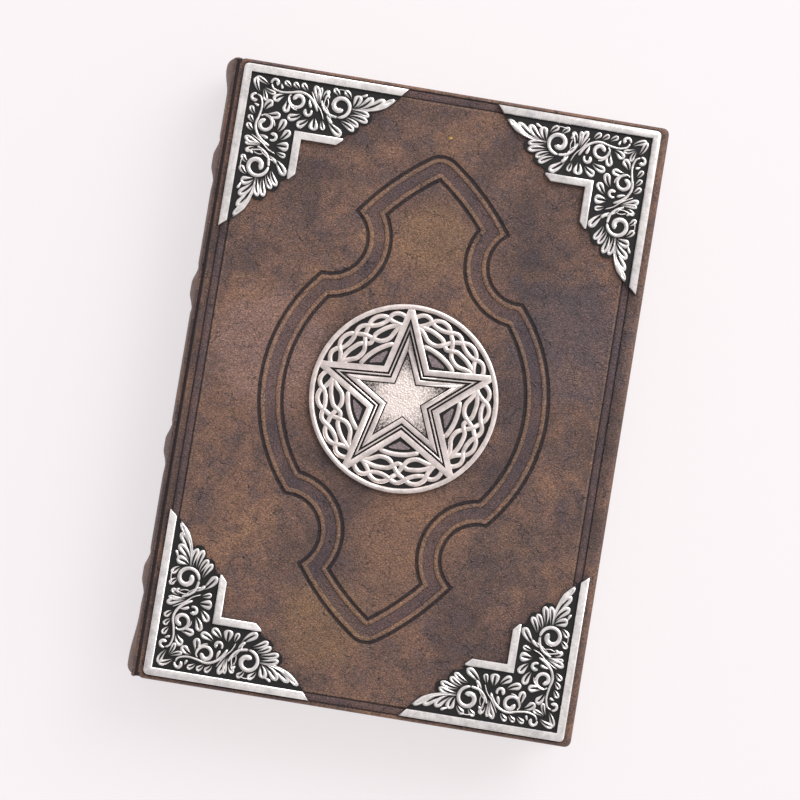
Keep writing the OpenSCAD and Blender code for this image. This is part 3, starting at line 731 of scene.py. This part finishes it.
bm = bmesh.new()
marks = bm.verts.layers.float_color.new("tooling_and_painted_light")
around, rises = len(sections[0]), len(sections) - 1
first, last = len(BEAD_TURNS), len(BEAD_TURNS) + len(OUTER_Z)
for vert in bmesh.ops.create_grid(bm, x_segments=around, y_segments=rises, size=0.5)["verts"]:
    i, j = round((vert.co.x + 0.5) * around) % around, round((vert.co.y + 0.5) * rises)
    point = sections[j][i]
    # Painted shade: the valley between the bead and the round is darkened with the red channel of
    # the pressed lines
    groove = smooth(1 - abs(abs(point.z - MID_Z) - 13.2) / 1.1)
    height = nipped = 0.0
    if first <= i < last:
        height = smooth(outer_x(point.z - MID_Z, PLAIN_Y) - point.x)
        nipped = max(smooth(1 - abs(abs(point.y - at) - 7.0) / 1.5) for at in BANDS)
    vert.co = point
    # Red: painted shade in the valley by the bead, and darker lines in the dips beside the cords.
    # Green: lighter where the leather stands out over the cords and the caps. Blue: the whole spine
    # a little darker and greyer, as painted shade.
    vert[marks] = (max(0.9 * groove, 0.6 * nipped), 0.6 * height, 0.3, 1.0)
finish_piece("spine_leather_cover", bm, leather, "book_block", "leather", "spine_leather",
             sharp=60)

# %% [markdown]
# ## The cast corners
#
# A corner is one casting: two smooth bars frame a field of acanthus scrolls on a sunken ground.
# A caster's wax model is built the same way as this cell, leaf by leaf. Each leaf or stem is a
# rounded strip that grows from a point, swells, may be split by a gouge along its middle, and
# ends round. Only one leg is drawn: the other is its mirror image in the corner's diagonal.

# %% Strips of relief
STRIP_AROUND, LEAF_FULLNESS = 16, 1.18


def relief_strip(bm, path, widths, heights, base, gouge=0.0):
    """A rounded strip along a flat path; widths and heights are tables over its length."""
    steps = len(path) - 1

    def shape(u, v):
        step = round(u * steps)
        here, back, ahead = path[step], path[max(step - 1, 0)], path[min(step + 1, steps)]
        way = (ahead - back).normalized()
        # Three quarters of the rows go over the top, which is the side that shows
        angle = math.pi * (v / 0.75 if v < 0.75 else 1 + (v - 0.75) / 0.25)
        half = along(widths, u) / 2
        across = half * math.cos(angle)
        rise = max(math.sin(angle), 0.0) ** 0.75 * along(heights, u)
        middle = math.exp(-(across / max(0.28 * half, 0.01)) ** 2)
        cut = gouge * middle * smooth(u / 0.15) * smooth((0.74 - u) / 0.2)
        rise -= min(cut, rise) if math.sin(angle) > 0 else 0.0
        place = here + across * Vector((-way.y, way.x))
        return Vector((place.x, place.y, base + rise))

    sheet(bm, steps, STRIP_AROUND, shape)


def curved(points, steps):
    """A smooth path through a few points, with some steps between each two."""
    path = []
    for i in range(len(points) - 1):
        a, b, c, d = (Vector(points[min(max(i + k, 0), len(points) - 1)]) for k in (-1, 0, 1, 2))
        for k in range(steps + (i == len(points) - 2)):
            t = k / steps
            path.append(0.5 * (2 * b + (c - a) * t + (2 * a - 5 * b + 4 * c - d) * t * t
                               + (3 * b - a - 3 * c + d) * t ** 3))
    return path


def coil(centre, r0, r1, a0, a1, steps):
    """A spiral path about a centre, from one radius and angle to another."""
    path = []
    for i in range(steps + 1):
        t = i / steps
        angle, radius = math.radians(blend_values(a0, a1, t)), blend_values(r0, r1, t)
        path.append(Vector(centre) + radius * Vector((math.cos(angle), math.sin(angle))))
    return path


LEAF_PLACES = [0, 0.12, 0.26, 0.4, 0.54, 0.68, 0.8, 0.89, 0.95, 0.985, 1]
LEAF_WIDTHS = [0.02, 0.32, 0.55, 0.74, 0.89, 0.98, 0.98, 0.82, 0.58, 0.33, 0.02]
LEAF_HEIGHTS = [0.35, 0.55, 0.7, 0.83, 0.93, 1.0, 1.0, 0.93, 0.8, 0.62, 0.35]


def relief_leaf(bm, tip, end, width, sway, height, base):
    """A leaf from its narrow tip to its round end, bowed sideways by a share of its length."""
    tip, end = Vector(tip), Vector(end)
    way = end - tip
    tip, end = tip - 0.15 * way, end + way.normalized() * width * 0.5
    middle = (tip + end) / 2 + 2 * sway * Vector((-way.y, way.x))
    path = [tip.lerp(middle, t).lerp(middle.lerp(end, t), t) for t in LEAF_PLACES]
    last = len(LEAF_PLACES) - 1
    widths = [(i / last, LEAF_FULLNESS * share * width) for i, share in enumerate(LEAF_WIDTHS)]
    heights = [(i / last, share * height) for i, share in enumerate(LEAF_HEIGHTS)]
    relief_strip(bm, path, widths, heights, base, 0.75 if width > 1.4 else 0.0)


def relief_stem(bm, path, w0, w1, height, base):
    """A rounded stem or scroll along a path, from one width to another, with closed ends."""
    widths = [(0, 0.02), (0.03, w0 * 0.7), (0.08, w0), (0.9, w1), (0.97, w1 * 0.75), (1, 0.02)]
    heights = [(0, 0.1), (0.05, height * 0.8), (0.5, height), (0.95, height), (1, 0.1)]
    relief_strip(bm, path, widths, heights, base)


print("faces in a leaf:", (len(LEAF_PLACES) - 1) * STRIP_AROUND)

# %% [markdown]
# ## Leaves and scrolls of one leg
#
# The leaves are set out in millimetres from the outer corner of the casting, with the leg along
# X. Two large scrolls curl round a bulb each, smaller ones fill in between, and a fan of leaves
# ends in one long pointed leaf at the tip of the leg.

# %% Set out a leg
LEG_LEAVES = [
    (9, 6.5, 5.2, 4.8, 1.9, 0.1), (8.1, 7.5, 11.4, 8.7, 1.6, 0.1),
    (16.9, 6.2, 15, 4.9, 1.8, 0.15), (19.7, 6.3, 18.1, 4.9, 1.8, 0.15),
    (22.5, 6.5, 20.9, 4.8, 1.9, 0.15), (27, 10, 25.3, 5, 2.3, 0.08),
    (27.6, 9.6, 27.4, 5, 1.6, -0.1), (28.6, 8, 29.9, 5.9, 1.8, -0.2),
    (33.6, 6.5, 31.9, 4.8, 1.9, 0.2), (37.6, 6.8, 35.7, 4.9, 2.0, 0.2),
    (15.1, 9.3, 12.8, 10.9, 2.6, 0.2), (16.3, 10.2, 15.9, 13.6, 2.5, -0.15),
    (21.6, 14.5, 18.2, 15.9, 2.5, -0.15), (24.2, 16, 21.6, 18, 2.5, -0.1),
    (26.5, 15.2, 26.5, 17.9, 3.1, 0.0), (29, 15.6, 29.7, 18, 1.8, 0.0),
    (38.9, 9.2, 39.9, 6.2, 2.9, 0.12), (40.3, 9.2, 44.2, 5.7, 2.7, 0.12),
    (42.3, 9, 48.2, 5.5, 2.7, 0.1), (46, 7.9, 51.8, 4.7, 1.8, 0.06),
    (30.6, 13.4, 32.4, 15.6, 1.2, 0.1), (13.4, 5.3, 13.9, 6.6, 1.0, 0),
    (23.9, 8.9, 24.6, 11.4, 1.1, 0.1), (29.4, 4.7, 30.4, 7.2, 1.0, 0.1),
    (40.6, 5.2, 42.8, 4.3, 1.0, 0.1),
]
EDGE_LEAVES = [
    (31.7, 15.6, 35.5, 18.7, 2.7, 0.08), (35.4, 14.9, 39.5, 17, 2.1, -0.08),
    (37, 13.5, 40.8, 15.4, 2.0, -0.08), (38.4, 12.5, 43.6, 13.5, 2.2, -0.08),
    (38.7, 10.7, 43.9, 11.5, 2.1, -0.1),
]
# Halves of outlines, from the diagonal of the corner round one leg and back to the diagonal
GROUND_OUTLINE = [
    (21, 21), (37.2, 21), (37.6, 19.2), (39, 18.5), (41, 18), (42.2, 16.6), (41.8, 14.7),
    (44.2, 14.5), (45.9, 13.2), (46, 11.2), (44.9, 9.7), (47.8, 8.8), (51.2, 6.9), (54.4, 3.4),
    (55.5, 1), (0.6, 0.6),
]
BAR_OUTLINES = [
    [(2.8, 2.8), (54.6, 2.8), (57, 0), (1.6, 0), (1.0, 0.12), (0.47, 0.47)],
    [(23.2, 23.2), (35.2, 23.2), (37.4, 21.2), (37.4, 20.4), (20.4, 20.4)],
]
LONG_LEAF = [
    (37.9, 9.9), (41, 9.9), (43.8, 9.5), (47.4, 8.2), (50.6, 6.2), (53.4, 4.2),
]
GROUND_TOP, LEAF_RISE, BAR_TOP = 0.7, 0.86, 1.8


def leg_scrolls(bm, base):
    """The stems and scrolls of a leg."""
    stems = [
        (coil((11.4, 5.2), 1.5, 0.6, 150, 430, 16), 1.0, 1.6),
        (curved([(10.1, 5.6), (11, 7.3), (13.9, 8.1), (17.2, 7.7), (20.3, 7), (23.2, 7.8),
                 (25.6, 10), (27.2, 13)], 5), 0.8, 1.2),
        (coil((19.8, 9.9), 3.2, 0.9, 205, -200, 32), 1.15, 1.8),
        (coil((23.7, 13.5), 1.55, 0.55, -50, 250, 16), 1.0, 1.7),
        (curved([(27.8, 8.6), (28.9, 11), (31, 13), (34.2, 13.7)], 6), 0.9, 1.2),
        (coil((34.4, 9.6), 4.1, 1.1, 105, -330, 38), 1.3, 2.1),
        (coil((34.4, 9.6), 5.5, 5.5, 150, 225, 8), 0.6, 0.7),
        (coil((34.4, 9.6), 5.6, 5.6, 240, 300, 8), 0.5, 0.6),
        (curved([(17.5, 8.2), (16.6, 9.6), (17.2, 11.6), (18.8, 13.2), (20.4, 13.4)], 4), 0.7, 0.6),
        (curved([(24, 6), (25.2, 8.2), (26.6, 10.4), (28.4, 12.6), (29.6, 15.4)], 4), 0.5, 0.6),
        (curved([(29.8, 7.6), (30.4, 9.4), (30.2, 11.2)], 4), 0.6, 0.5),
        (curved([(29, 10), (30.6, 11.9), (32.2, 15)], 4), 0.4, 0.6),
    ]
    for path, w0, w1 in stems:
        relief_stem(bm, path, w0, w1, LEAF_RISE, base)
    widths = [(0, 0.02), (0.1, 0.7), (0.45, 1.3), (0.72, 2.1), (0.9, 1.2), (1, 0.02)]
    heights = [(0, 0.3), (0.2, 0.8), (0.7, 0.95), (1, 0.3)]
    relief_strip(bm, curved(LONG_LEAF, 5), widths, heights, base, 0.3)


def raised_outline(bm, outline, low, high, soft):
    """A flat outline raised to a thickness, with its upper edge rounded."""
    verts = [bm.verts.new((x, y, low)) for x, y in outline]
    face = bm.faces.new(verts)
    raised = bmesh.ops.extrude_face_region(bm, geom=[face])["geom"]
    top = [item for item in raised if isinstance(item, bmesh.types.BMVert)]
    bmesh.ops.translate(bm, vec=(0, 0, high - low), verts=top)
    if soft:
        rim = [item for item in raised if isinstance(item, bmesh.types.BMEdge)]
        bmesh.ops.bevel(bm, geom=rim, offset=soft, segments=3, profile=0.5, affect="EDGES",
                        material=-1, clamp_overlap=True)


def both_legs(half):
    """The whole outline of a corner from its half, mirrored in the diagonal."""
    return half + [(y, x) for x, y in reversed(half[1:-1])]


def plate_leg(bm):
    """The leaves and scrolls of one leg of a corner casting."""
    base = GROUND_TOP - 0.12
    for x0, y0, x1, y1, width, sway in LEG_LEAVES + EDGE_LEAVES:
        relief_leaf(bm, (x0, y0), (x1, y1), width, sway, LEAF_RISE, base)
    for x0, y0, x1, y1, width, sway in EDGE_LEAVES:
        relief_leaf(bm, (x0, y0), (x1, y1), width + 0.5, sway, GROUND_TOP, 0.0)
    leg_scrolls(bm, base)


print("leaves in a corner:", 2 * len(LEG_LEAVES + EDGE_LEAVES))

# %% Cast the four corners
def corner_plate(name, head, fore, node_name):
    """A corner casting, turned to its own corner of the front cover."""
    bm = bmesh.new()
    plate_leg(bm)
    both = bmesh.ops.duplicate(bm, geom=bm.verts[:] + bm.edges[:] + bm.faces[:])["geom"]
    swap = Matrix(((0, 1, 0, 0), (1, 0, 0, 0), (0, 0, 1, 0), (0, 0, 0, 1)))
    leg = [v for v in both if isinstance(v, bmesh.types.BMVert)]
    bmesh.ops.transform(bm, matrix=swap, verts=leg)
    raised_outline(bm, both_legs(GROUND_OUTLINE), 0.0, GROUND_TOP, 0.0)
    for outline in BAR_OUTLINES:
        raised_outline(bm, both_legs(outline), 0.0, BAR_TOP, 0.5)
    turned = Matrix.Diagonal((-1 if fore else 1, -1 if head else 1, 1, 1))
    x = COVER_W - 2.8 if fore else 2.3
    place = Matrix.Translation((x, COVER_H - 1.7 if head else 1.7, BOOK_T))
    bmesh.ops.transform(bm, matrix=place @ turned, verts=bm.verts)
    finish_piece(name, bm, silver, "front_cover", "silver", node_name, sharp=50, merge=0.001)


corner_plate("head_spine_corner", True, False, "corner_head_spine")
corner_plate("head_fore_corner", True, True, "corner_head_fore")
corner_plate("tail_spine_corner", False, False, "corner_tail_spine")
corner_plate("tail_fore_corner", False, True, "corner_tail_fore")

# %% [markdown]
# ## The medallion
#
# The round casting has a turned rim, so that part is spun from its profile. Inside it stand a
# five-pointed star made of three nested bands, a ring with five small windows, and a woven knot
# in each of the five fields. A knot is two strands that pass over and under each other, which is
# drawn once and turned five times.

# %% Star and rim
MEDAL_R, RIM_IN, MEDAL_GROUND, MEDAL_TOP, RIM_TOP = 32.5, 30.6, 0.8, 1.55, 2.0
STAR_BANDS = [(34.3, 27.7), (25.7, 24.0), (21.9, 16.6)]
STAR_HEART, HEART_TOP, WINDOW_TOP = 15.3, 1.15, 1.1
STAR_TURN = math.radians(90 + 4.3)


def star_points(tip, clip=None):
    """The corners of a five-pointed star; clip cuts its points off at a radius."""
    waist = tip * math.sin(math.radians(18)) / math.sin(math.radians(54))
    corners = []
    for k in range(5):
        angle = STAR_TURN + math.radians(72 * k)
        top = tip * Vector((math.cos(angle), math.sin(angle)))
        sides = [waist * Vector((math.cos(angle + s), math.sin(angle + s)))
                 for s in (-math.radians(36), math.radians(36))]
        if clip:
            share = (tip - clip) / (tip - waist * math.cos(math.radians(36)))
            cut = [top.lerp(side, share) for side in sides]
            corners += [cut[0], cut[1], sides[1]]
        else:
            corners += [top, top.copy(), sides[1]]
    return corners


def loop_edges(bm, points, z):
    """A closed loop of edges through some points at a height."""
    verts = [bm.verts.new((p.x, p.y, z)) for p in points]
    return [bm.edges.new((verts[i], verts[(i + 1) % len(verts)])) for i in range(len(verts))]


def raised_ring(bm, outer, inner, low, high, soft):
    """The band between two outlines with as many corners, raised and rounded at its edges."""
    edges = loop_edges(bm, outer, low) + loop_edges(bm, inner, low)
    faces = bmesh.ops.bridge_loops(bm, edges=edges)["faces"]
    raised = bmesh.ops.extrude_face_region(bm, geom=faces)["geom"]
    top = [item for item in raised if isinstance(item, bmesh.types.BMVert)]
    bmesh.ops.translate(bm, vec=(0, 0, high - low), verts=top)
    top_faces = {item for item in raised if isinstance(item, bmesh.types.BMFace)}
    rim = [item for item in raised if isinstance(item, bmesh.types.BMEdge)
           and sum(face in top_faces for face in item.link_faces) == 1]
    bmesh.ops.bevel(bm, geom=rim, offset=soft, segments=2, profile=0.5, affect="EDGES",
                    material=-1, clamp_overlap=True)


bm = bmesh.new()
RIM_PROFILE = [
    (0, 0), (MEDAL_R, 0), (MEDAL_R, 1.35), (32.35, 1.75), (32.0, 1.95), (31.5, RIM_TOP),
    (31.0, 1.95), (30.7, 1.7), (RIM_IN, 1.3), (RIM_IN - 0.1, MEDAL_GROUND), (0, MEDAL_GROUND),
]
profile = [bm.verts.new((x, 0, z)) for x, z in RIM_PROFILE]
profile_edges = [bm.edges.new(pair) for pair in zip(profile, profile[1:])]
bmesh.ops.spin(bm, geom=profile + profile_edges, cent=(0, 0, 0), axis=(0, 0, 1),
               angle=2 * math.pi, steps=128, use_merge=True)
print("rim:", len(bm.faces), "faces")

# %% Woven knots
CROSSING = [
    (-33.5, 24.9), (-27.5, 24.4), (-22.5, 22.7), (-18.5, 21.4), (-13, 21.0), (-8, 21.5),
    (-4, 23.1), (0, 25.5), (4.2, 27.1), (8.5, 28.9), (14, 29.5), (19, 28.7), (22.5, 26.9),
    (27.5, 25.5), (33.5, 24.8),
]
OUTER_HALF = [
    (-34, 27.0), (-31, 28.6), (-26.5, 29.4), (-22.5, 28.8), (-19, 27.3), (-14, 26.7), (-8, 27.1),
    (-3.5, 28.3), (0, 28.8),
]
INNER_HALF = [
    (-32, 25.5), (-24.5, 25.2), (-18.5, 25.0), (-13, 24.6), (-7.5, 24.1), (-3.5, 22.9), (0, 22.2),
]
STRAND_W = 1.8


def polar(degrees, radius, turn):
    """A point at an angle and radius in a field of the medallion."""
    angle = math.radians(degrees) + turn
    return radius * Vector((math.cos(angle), math.sin(angle)))


def mirrored(points):
    """The mirror image of a strand's points in the middle of a field."""
    return [(-degrees, radius) for degrees, radius in points]


def knot_strand(bm, points, turn, over_at):
    """A strand of a knot, which rises or dips where over_at says, in shares of its length."""
    path = curved([polar(degrees, radius, turn) for degrees, radius in points], 3)
    steps = len(path) - 1
    heights = []
    for i in range(steps + 1):
        t = i / steps
        lift = sum(way * math.exp(-((t - at) / 0.03) ** 2) for at, way in over_at)
        heights.append((t, 0.74 + 0.2 * lift))
    heights[0], heights[-1] = (0, 0.1), (1, 0.1)
    widths = [(0, 0.02), (0.02, STRAND_W), (0.98, STRAND_W), (1, 0.02)]
    relief_strip(bm, path, widths, heights, MEDAL_GROUND - 0.1)


for k in range(5):
    turn = STAR_TURN + math.radians(36 + 72 * k)
    knot_strand(bm, CROSSING, turn, [(0.4, -1), (0.5, 1), (0.58, -1), (0.83, 1)])
    knot_strand(bm, mirrored(CROSSING), turn, [(0.4, 1), (0.5, -1), (0.58, 1), (0.83, -1)])
    knot_strand(bm, OUTER_HALF + mirrored(OUTER_HALF[-2::-1]), turn,
                [(0.27, -1), (0.4, 1), (0.6, 1), (0.73, -1)])
    knot_strand(bm, INNER_HALF + mirrored(INNER_HALF[-2::-1]), turn, [(0.4, 1), (0.6, -1)])
    ring = [polar(22.5 - 45 * i / 14, 19.15, turn) for i in range(15)]
    relief_stem(bm, ring, 1.9, 1.9, 0.7, MEDAL_GROUND - 0.1)
for outer, inner in STAR_BANDS:
    clip = 31.0 if outer > MEDAL_R else None
    raised_ring(bm, star_points(outer, clip), star_points(inner), 0.3, MEDAL_TOP, 0.22)
smooth_faces = set(bm.faces)
heart = [p for i, p in enumerate(star_points(STAR_HEART)) if i % 3 != 1]
raised_outline(bm, [(p.x, p.y) for p in heart], 0.3, HEART_TOP, 0.0)
heart_faces = set(bm.faces) - smooth_faces
for k in range(5):
    turn = STAR_TURN + math.radians(36 + 72 * k)
    pane = [polar(0, 14.6, turn), polar(12.2, 17.0, turn)]
    pane += [polar(11 - 3.7 * i, 17.4, turn) for i in range(7)] + [polar(-12.2, 17.0, turn)]
    raised_outline(bm, [(p.x, p.y) for p in pane], 0.3, WINDOW_TOP, 0.0)
for face in bm.faces:
    face.material_index = 0 if face in smooth_faces else 1 if face in heart_faces else 2
bmesh.ops.translate(bm, vec=(CENTRE.x, CENTRE.y, BOOK_T), verts=bm.verts)
finish_piece("star_medallion", bm, [medal_silver, heart_silver, pane_silver], "front_cover",
             "silver", "medallion", sharp=50, merge=0.001)

# %% [markdown]
# ## Paper, board, cloth and thread
#
# The pages are uncoated cream paper, cut with a guillotine, so each edge shows the sheets as fine
# lines, some a little longer than the next. The real sheets are a tenth of a millimetre thick;
# the lines here stand for bundles of two or three, because finer ones wouldn't show. The board,
# the lining and the cords are mostly hidden, and get what shows of them when the book is open.

# %% Mix the paper and the hidden materials
def layered_paper(name, light, dark, spacing):
    """Cream paper: plain on its faces, with layers across the book's thickness on its cut edges."""
    made, tree, shader, place = new_material(name)
    normal = add(tree, "TexCoord", pick="Normal")
    upright = add(tree, "SeparateXYZ", {"Vector": normal}, pick="Z")
    flat = add(tree, "Math", {0: upright}, operation="ABSOLUTE")
    edge = add(tree, "Math", {0: 1.0, 1: flat}, operation="SUBTRACT", use_clamp=True)
    squeezed = add(tree, "Mapping", {"Vector": place, "Scale": (0.02, 0.02, 1 / spacing)})
    sheets = add(tree, "TexNoise", {"Vector": squeezed, "Scale": 1.0, "Detail": 3.0,
                                    "Roughness": 0.7})
    layers = add(tree, "Math", {0: sheets, 1: edge}, operation="MULTIPLY")
    fibre = add(tree, "TexNoise", {"Vector": place, "Scale": 2.0, "Detail": 5.0})
    soil = add(tree, "TexNoise", {"Vector": place, "Scale": 0.03, "Detail": 3.0})
    faint = add(tree, "Math", {0: soil, 1: 0.25, 2: fibre}, operation="MULTIPLY_ADD")
    faded = add(tree, "Math", {0: faint, 1: 0.3}, operation="MULTIPLY")
    tone = add(tree, "Math", {0: layers, 1: -0.9, 2: faded}, operation="MULTIPLY_ADD")
    level = add(tree, "Math", {0: tone, 1: 0.7}, operation="ADD")
    colour = add(tree, "ValToRGB", {"Fac": level}, [(0.2, dark), (0.85, light)])
    height = add(tree, "Math", {0: fibre, 1: 0.1, 2: layers}, operation="MULTIPLY_ADD")
    bump = add(tree, "Bump", {"Height": height, "Strength": 0.6, "Distance": 0.25 * MM})
    feed(tree, shader, {"Base Color": colour, "Normal": bump, "Roughness": 0.88,
                        "Specular IOR Level": 0.25})
    return made


def fibrous_material(name, light, dark, grain, stretch, rough):
    """Pressed or spun fibres: two tones in a grain of a size in millimetres, stretched one way."""
    made, tree, shader, place = new_material(name)
    pulled = add(tree, "Mapping", {"Vector": place, "Scale": stretch})
    fibres = add(tree, "TexNoise", {"Vector": pulled, "Scale": 1 / grain, "Detail": 6.0,
                                    "Roughness": 0.7})
    colour = add(tree, "ValToRGB", {"Fac": fibres}, [(0.35, dark), (0.68, light)])
    bump = add(tree, "Bump", {"Height": fibres, "Strength": 0.5, "Distance": 0.2 * MM})
    feed(tree, shader, {"Base Color": colour, "Normal": bump, "Roughness": rough,
                        "Specular IOR Level": 0.25})
    return made


def thread_material(name, light, dark, pitch):
    """Thread wound over a core: turns of a pitch in millimetres across the book's thickness."""
    made, tree, shader, place = new_material(name)
    # At scale 1 a wave repeats every 2 pi / 20 units, so 0.314 makes one turn a millimetre
    turns = add(tree, "TexWave", {"Vector": place, "Scale": 0.314 / pitch, "Distortion": 1.2,
                                  "Detail": 2.0}, pick="Fac", bands_direction="Z")
    colour = add(tree, "ValToRGB", {"Fac": turns}, [(0.1, dark), (0.7, light)])
    bump = add(tree, "Bump", {"Height": turns, "Strength": 0.8, "Distance": 0.3 * MM})
    feed(tree, shader, {"Base Color": colour, "Normal": bump, "Roughness": 0.7})
    return made


page_paper = layered_paper("uncoated page paper", "#e9e2d2", "#b5a98d", 0.28)
endpaper = fibrous_material("heavy endpaper", "#e4dccb", "#d6ccb8", 0.8, (1, 1, 1), 0.85)
board_pulp = fibrous_material("grey binder's board", "#9a9184", "#746c60", 0.7, (1, 1, 0.3), 0.95)
lining_cloth = fibrous_material("glued lining cloth", "#ddd5c2", "#b3a98f", 0.5, (1, 1, 1), 0.9)
hemp = fibrous_material("hemp cord", "#ab9878", "#7e6c4e", 0.5, (1, 1, 0.2), 0.9)
silk = thread_material("wound silk thread", "#c9a566", "#7d4f2a", 0.7)
finishes = {
    "page_block": page_paper, "front_pastedown": endpaper, "back_pastedown": endpaper,
    "front_board": board_pulp, "back_board": board_pulp, "spine_stiffener": board_pulp,
    "spine_lining": lining_cloth, "head_band": silk, "tail_band": silk,
}
finishes.update({"raised_band_%d" % k: hemp for k in (1, 2, 3, 4)})
for name, finish in finishes.items():
    node_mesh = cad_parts[name].data
    node_mesh.materials.clear()
    node_mesh.materials.append(finish)
print("finished", len(finishes), "packed nodes")

# %% [markdown]
# ## The joints
#
# Between a cover and the spine the hide is one piece that bends when the book opens, and inside
# the book a strip of the endpaper does the same. Each is a thin closed strip here.

# %% Lay the strips along the joints
def bent_strip(name, upper, thickness, span, flipped, material, slot, start, end):
    """A closed strip along the joint, from its path across the joint and its thickness."""
    rows = 24
    under = []
    for i, p in enumerate(upper):
        after, before = upper[min(i + 1, len(upper) - 1)], upper[max(i - 1, 0)]
        way = (Vector(after) - Vector(before)).normalized()
        under.append(Vector(p) + thickness * Vector((way.y, -way.x)))
    loop = [Vector(p) for p in upper] + under[::-1]
    bm = bmesh.new()
    bm.verts.layers.float_color.new("tooling_and_painted_light")
    count = len(loop)

    def shape(u, v):
        p = loop[round(u * count) % count]
        return Vector((p.x, blend_values(*span, v), BOOK_T - p.y if flipped else p.y))

    sheet(bm, count, rows, shape)
    piece = finish_piece(name, bm, material, None, slot, sharp=60, merge=0.0005)
    sides = [in_frame(x, 0, BOOK_T - z if flipped else z) for x, z in (start, end)]
    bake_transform(piece)


OUTER_BEND = [
    (-0.95, 32.05), (-0.6, 32.3), (-0.2, 32.45), (0.05, 32.75), (0.2, 33.15), (0.4, 33.6),
    (0.7, 33.9), (1.0, 33.97),
]
PAGE_TOP = MID_Z + PAGES_HALF
INNER_BEND = [(3.2, PAGE_TOP + 0.03), (2.0, PAGE_TOP + 0.035), (1.2, PAGE_TOP + 0.04)]
INNER_BEND += [(0.45 + 0.35 * (1 - 2 * i / 14) ** 2, PAGE_TOP + 0.05 + 0.19 * i / 14)
               for i in range(15)]
INNER_BEND += [(1.2, PAGE_TOP + 0.25), (2.0, PAGE_TOP + 0.255), (3.2, PAGE_TOP + 0.26)]
for side, flipped in (("front", False), ("back", True)):
    bent_strip(side + "_joint_leather", OUTER_BEND, 0.35, (0.6, 214.4), flipped, leather, "leather",
               (-0.8, 33.0), (0.75, 33.0))
    bent_strip(side + "_joint_paper", INNER_BEND, 0.025, (3.2, 211.8), flipped, endpaper,
               "lining_paper", (0.0, PAGE_TOP + 0.05), (0.0, PAGE_TOP + 0.24))

# %% [markdown]
# ## Light and table
#
# The photograph has a white sheet under the journal and soft light from the upper right, with
# hardly a shadow. A pale sky lights everything: it is brightest low down on the lamp's side and
# dimmer overhead, where the camera stands, so flat silver looks grey and rounded silver bright.
# One large lamp adds direction. To the camera, and in reflections, the sheet glows a little,
# which keeps it near white and its shadows faint, while the soft light it throws back at the
# journal stays that of paper.

# %% Lay the table and set the lamps
floor_bm = bmesh.new()
bmesh.ops.create_grid(floor_bm, x_segments=1, y_segments=1, size=3.0)
floor_mesh = bpy.data.meshes.new("table_top")
floor_bm.to_mesh(floor_mesh)
floor_bm.free()
floor = bpy.data.objects.new("table_top", floor_mesh)
bpy.context.scene.collection.objects.link(floor)
paper_white, tree, shader, _ = new_material("white table sheet")
rays = add(tree, "LightPath").node.outputs
seen = add(tree, "Math", {0: rays["Is Camera Ray"], 1: rays["Is Glossy Ray"]}, operation="ADD")
seen = add(tree, "Math", {0: seen, 1: rays["Is Transmission Ray"]}, operation="ADD",
           use_clamp=True)
tint = add(tree, "MixRGB", {"Fac": seen, "Color1": linear("#f6f2f3"),
                            "Color2": linear("#8e8a8b")})
glow = add(tree, "Math", {0: seen, 1: 0.64}, operation="MULTIPLY")
feed(tree, shader, {"Base Color": tint, "Emission Strength": glow,
                    "Emission Color": linear("#fffafc"), "Roughness": 0.9})
floor_mesh.materials.append(paper_white)

world = bpy.data.worlds.new("studio")
world.use_nodes = True
sky = world.node_tree
towards = add(sky, "TexCoord", pick="Generated")
lean = add(sky, "VectorMath", {0: towards, 1: (0.36, 0.42, -0.2)}, operation="DOT_PRODUCT",
           pick="Value")
strength = add(sky, "Math", {0: lean, 1: 1.02}, operation="ADD")
feed(sky, sky.nodes["Background"], {"Strength": strength, "Color": linear("#fdf9fb")})
bpy.context.scene.world = world

lamp_data = bpy.data.lights.new("window", "AREA")
lamp_data.size = 1.2
lamp_data.energy = 22.0
lamp = bpy.data.objects.new("window", lamp_data)
lamp.location = (0.9, 1.2, 1.5)
lamp.rotation_euler = (-Vector(lamp.location)).to_track_quat("-Z", "Y").to_euler()
bpy.context.scene.collection.objects.link(lamp)
print("lamp at %.1f m" % Vector(lamp.location).length)
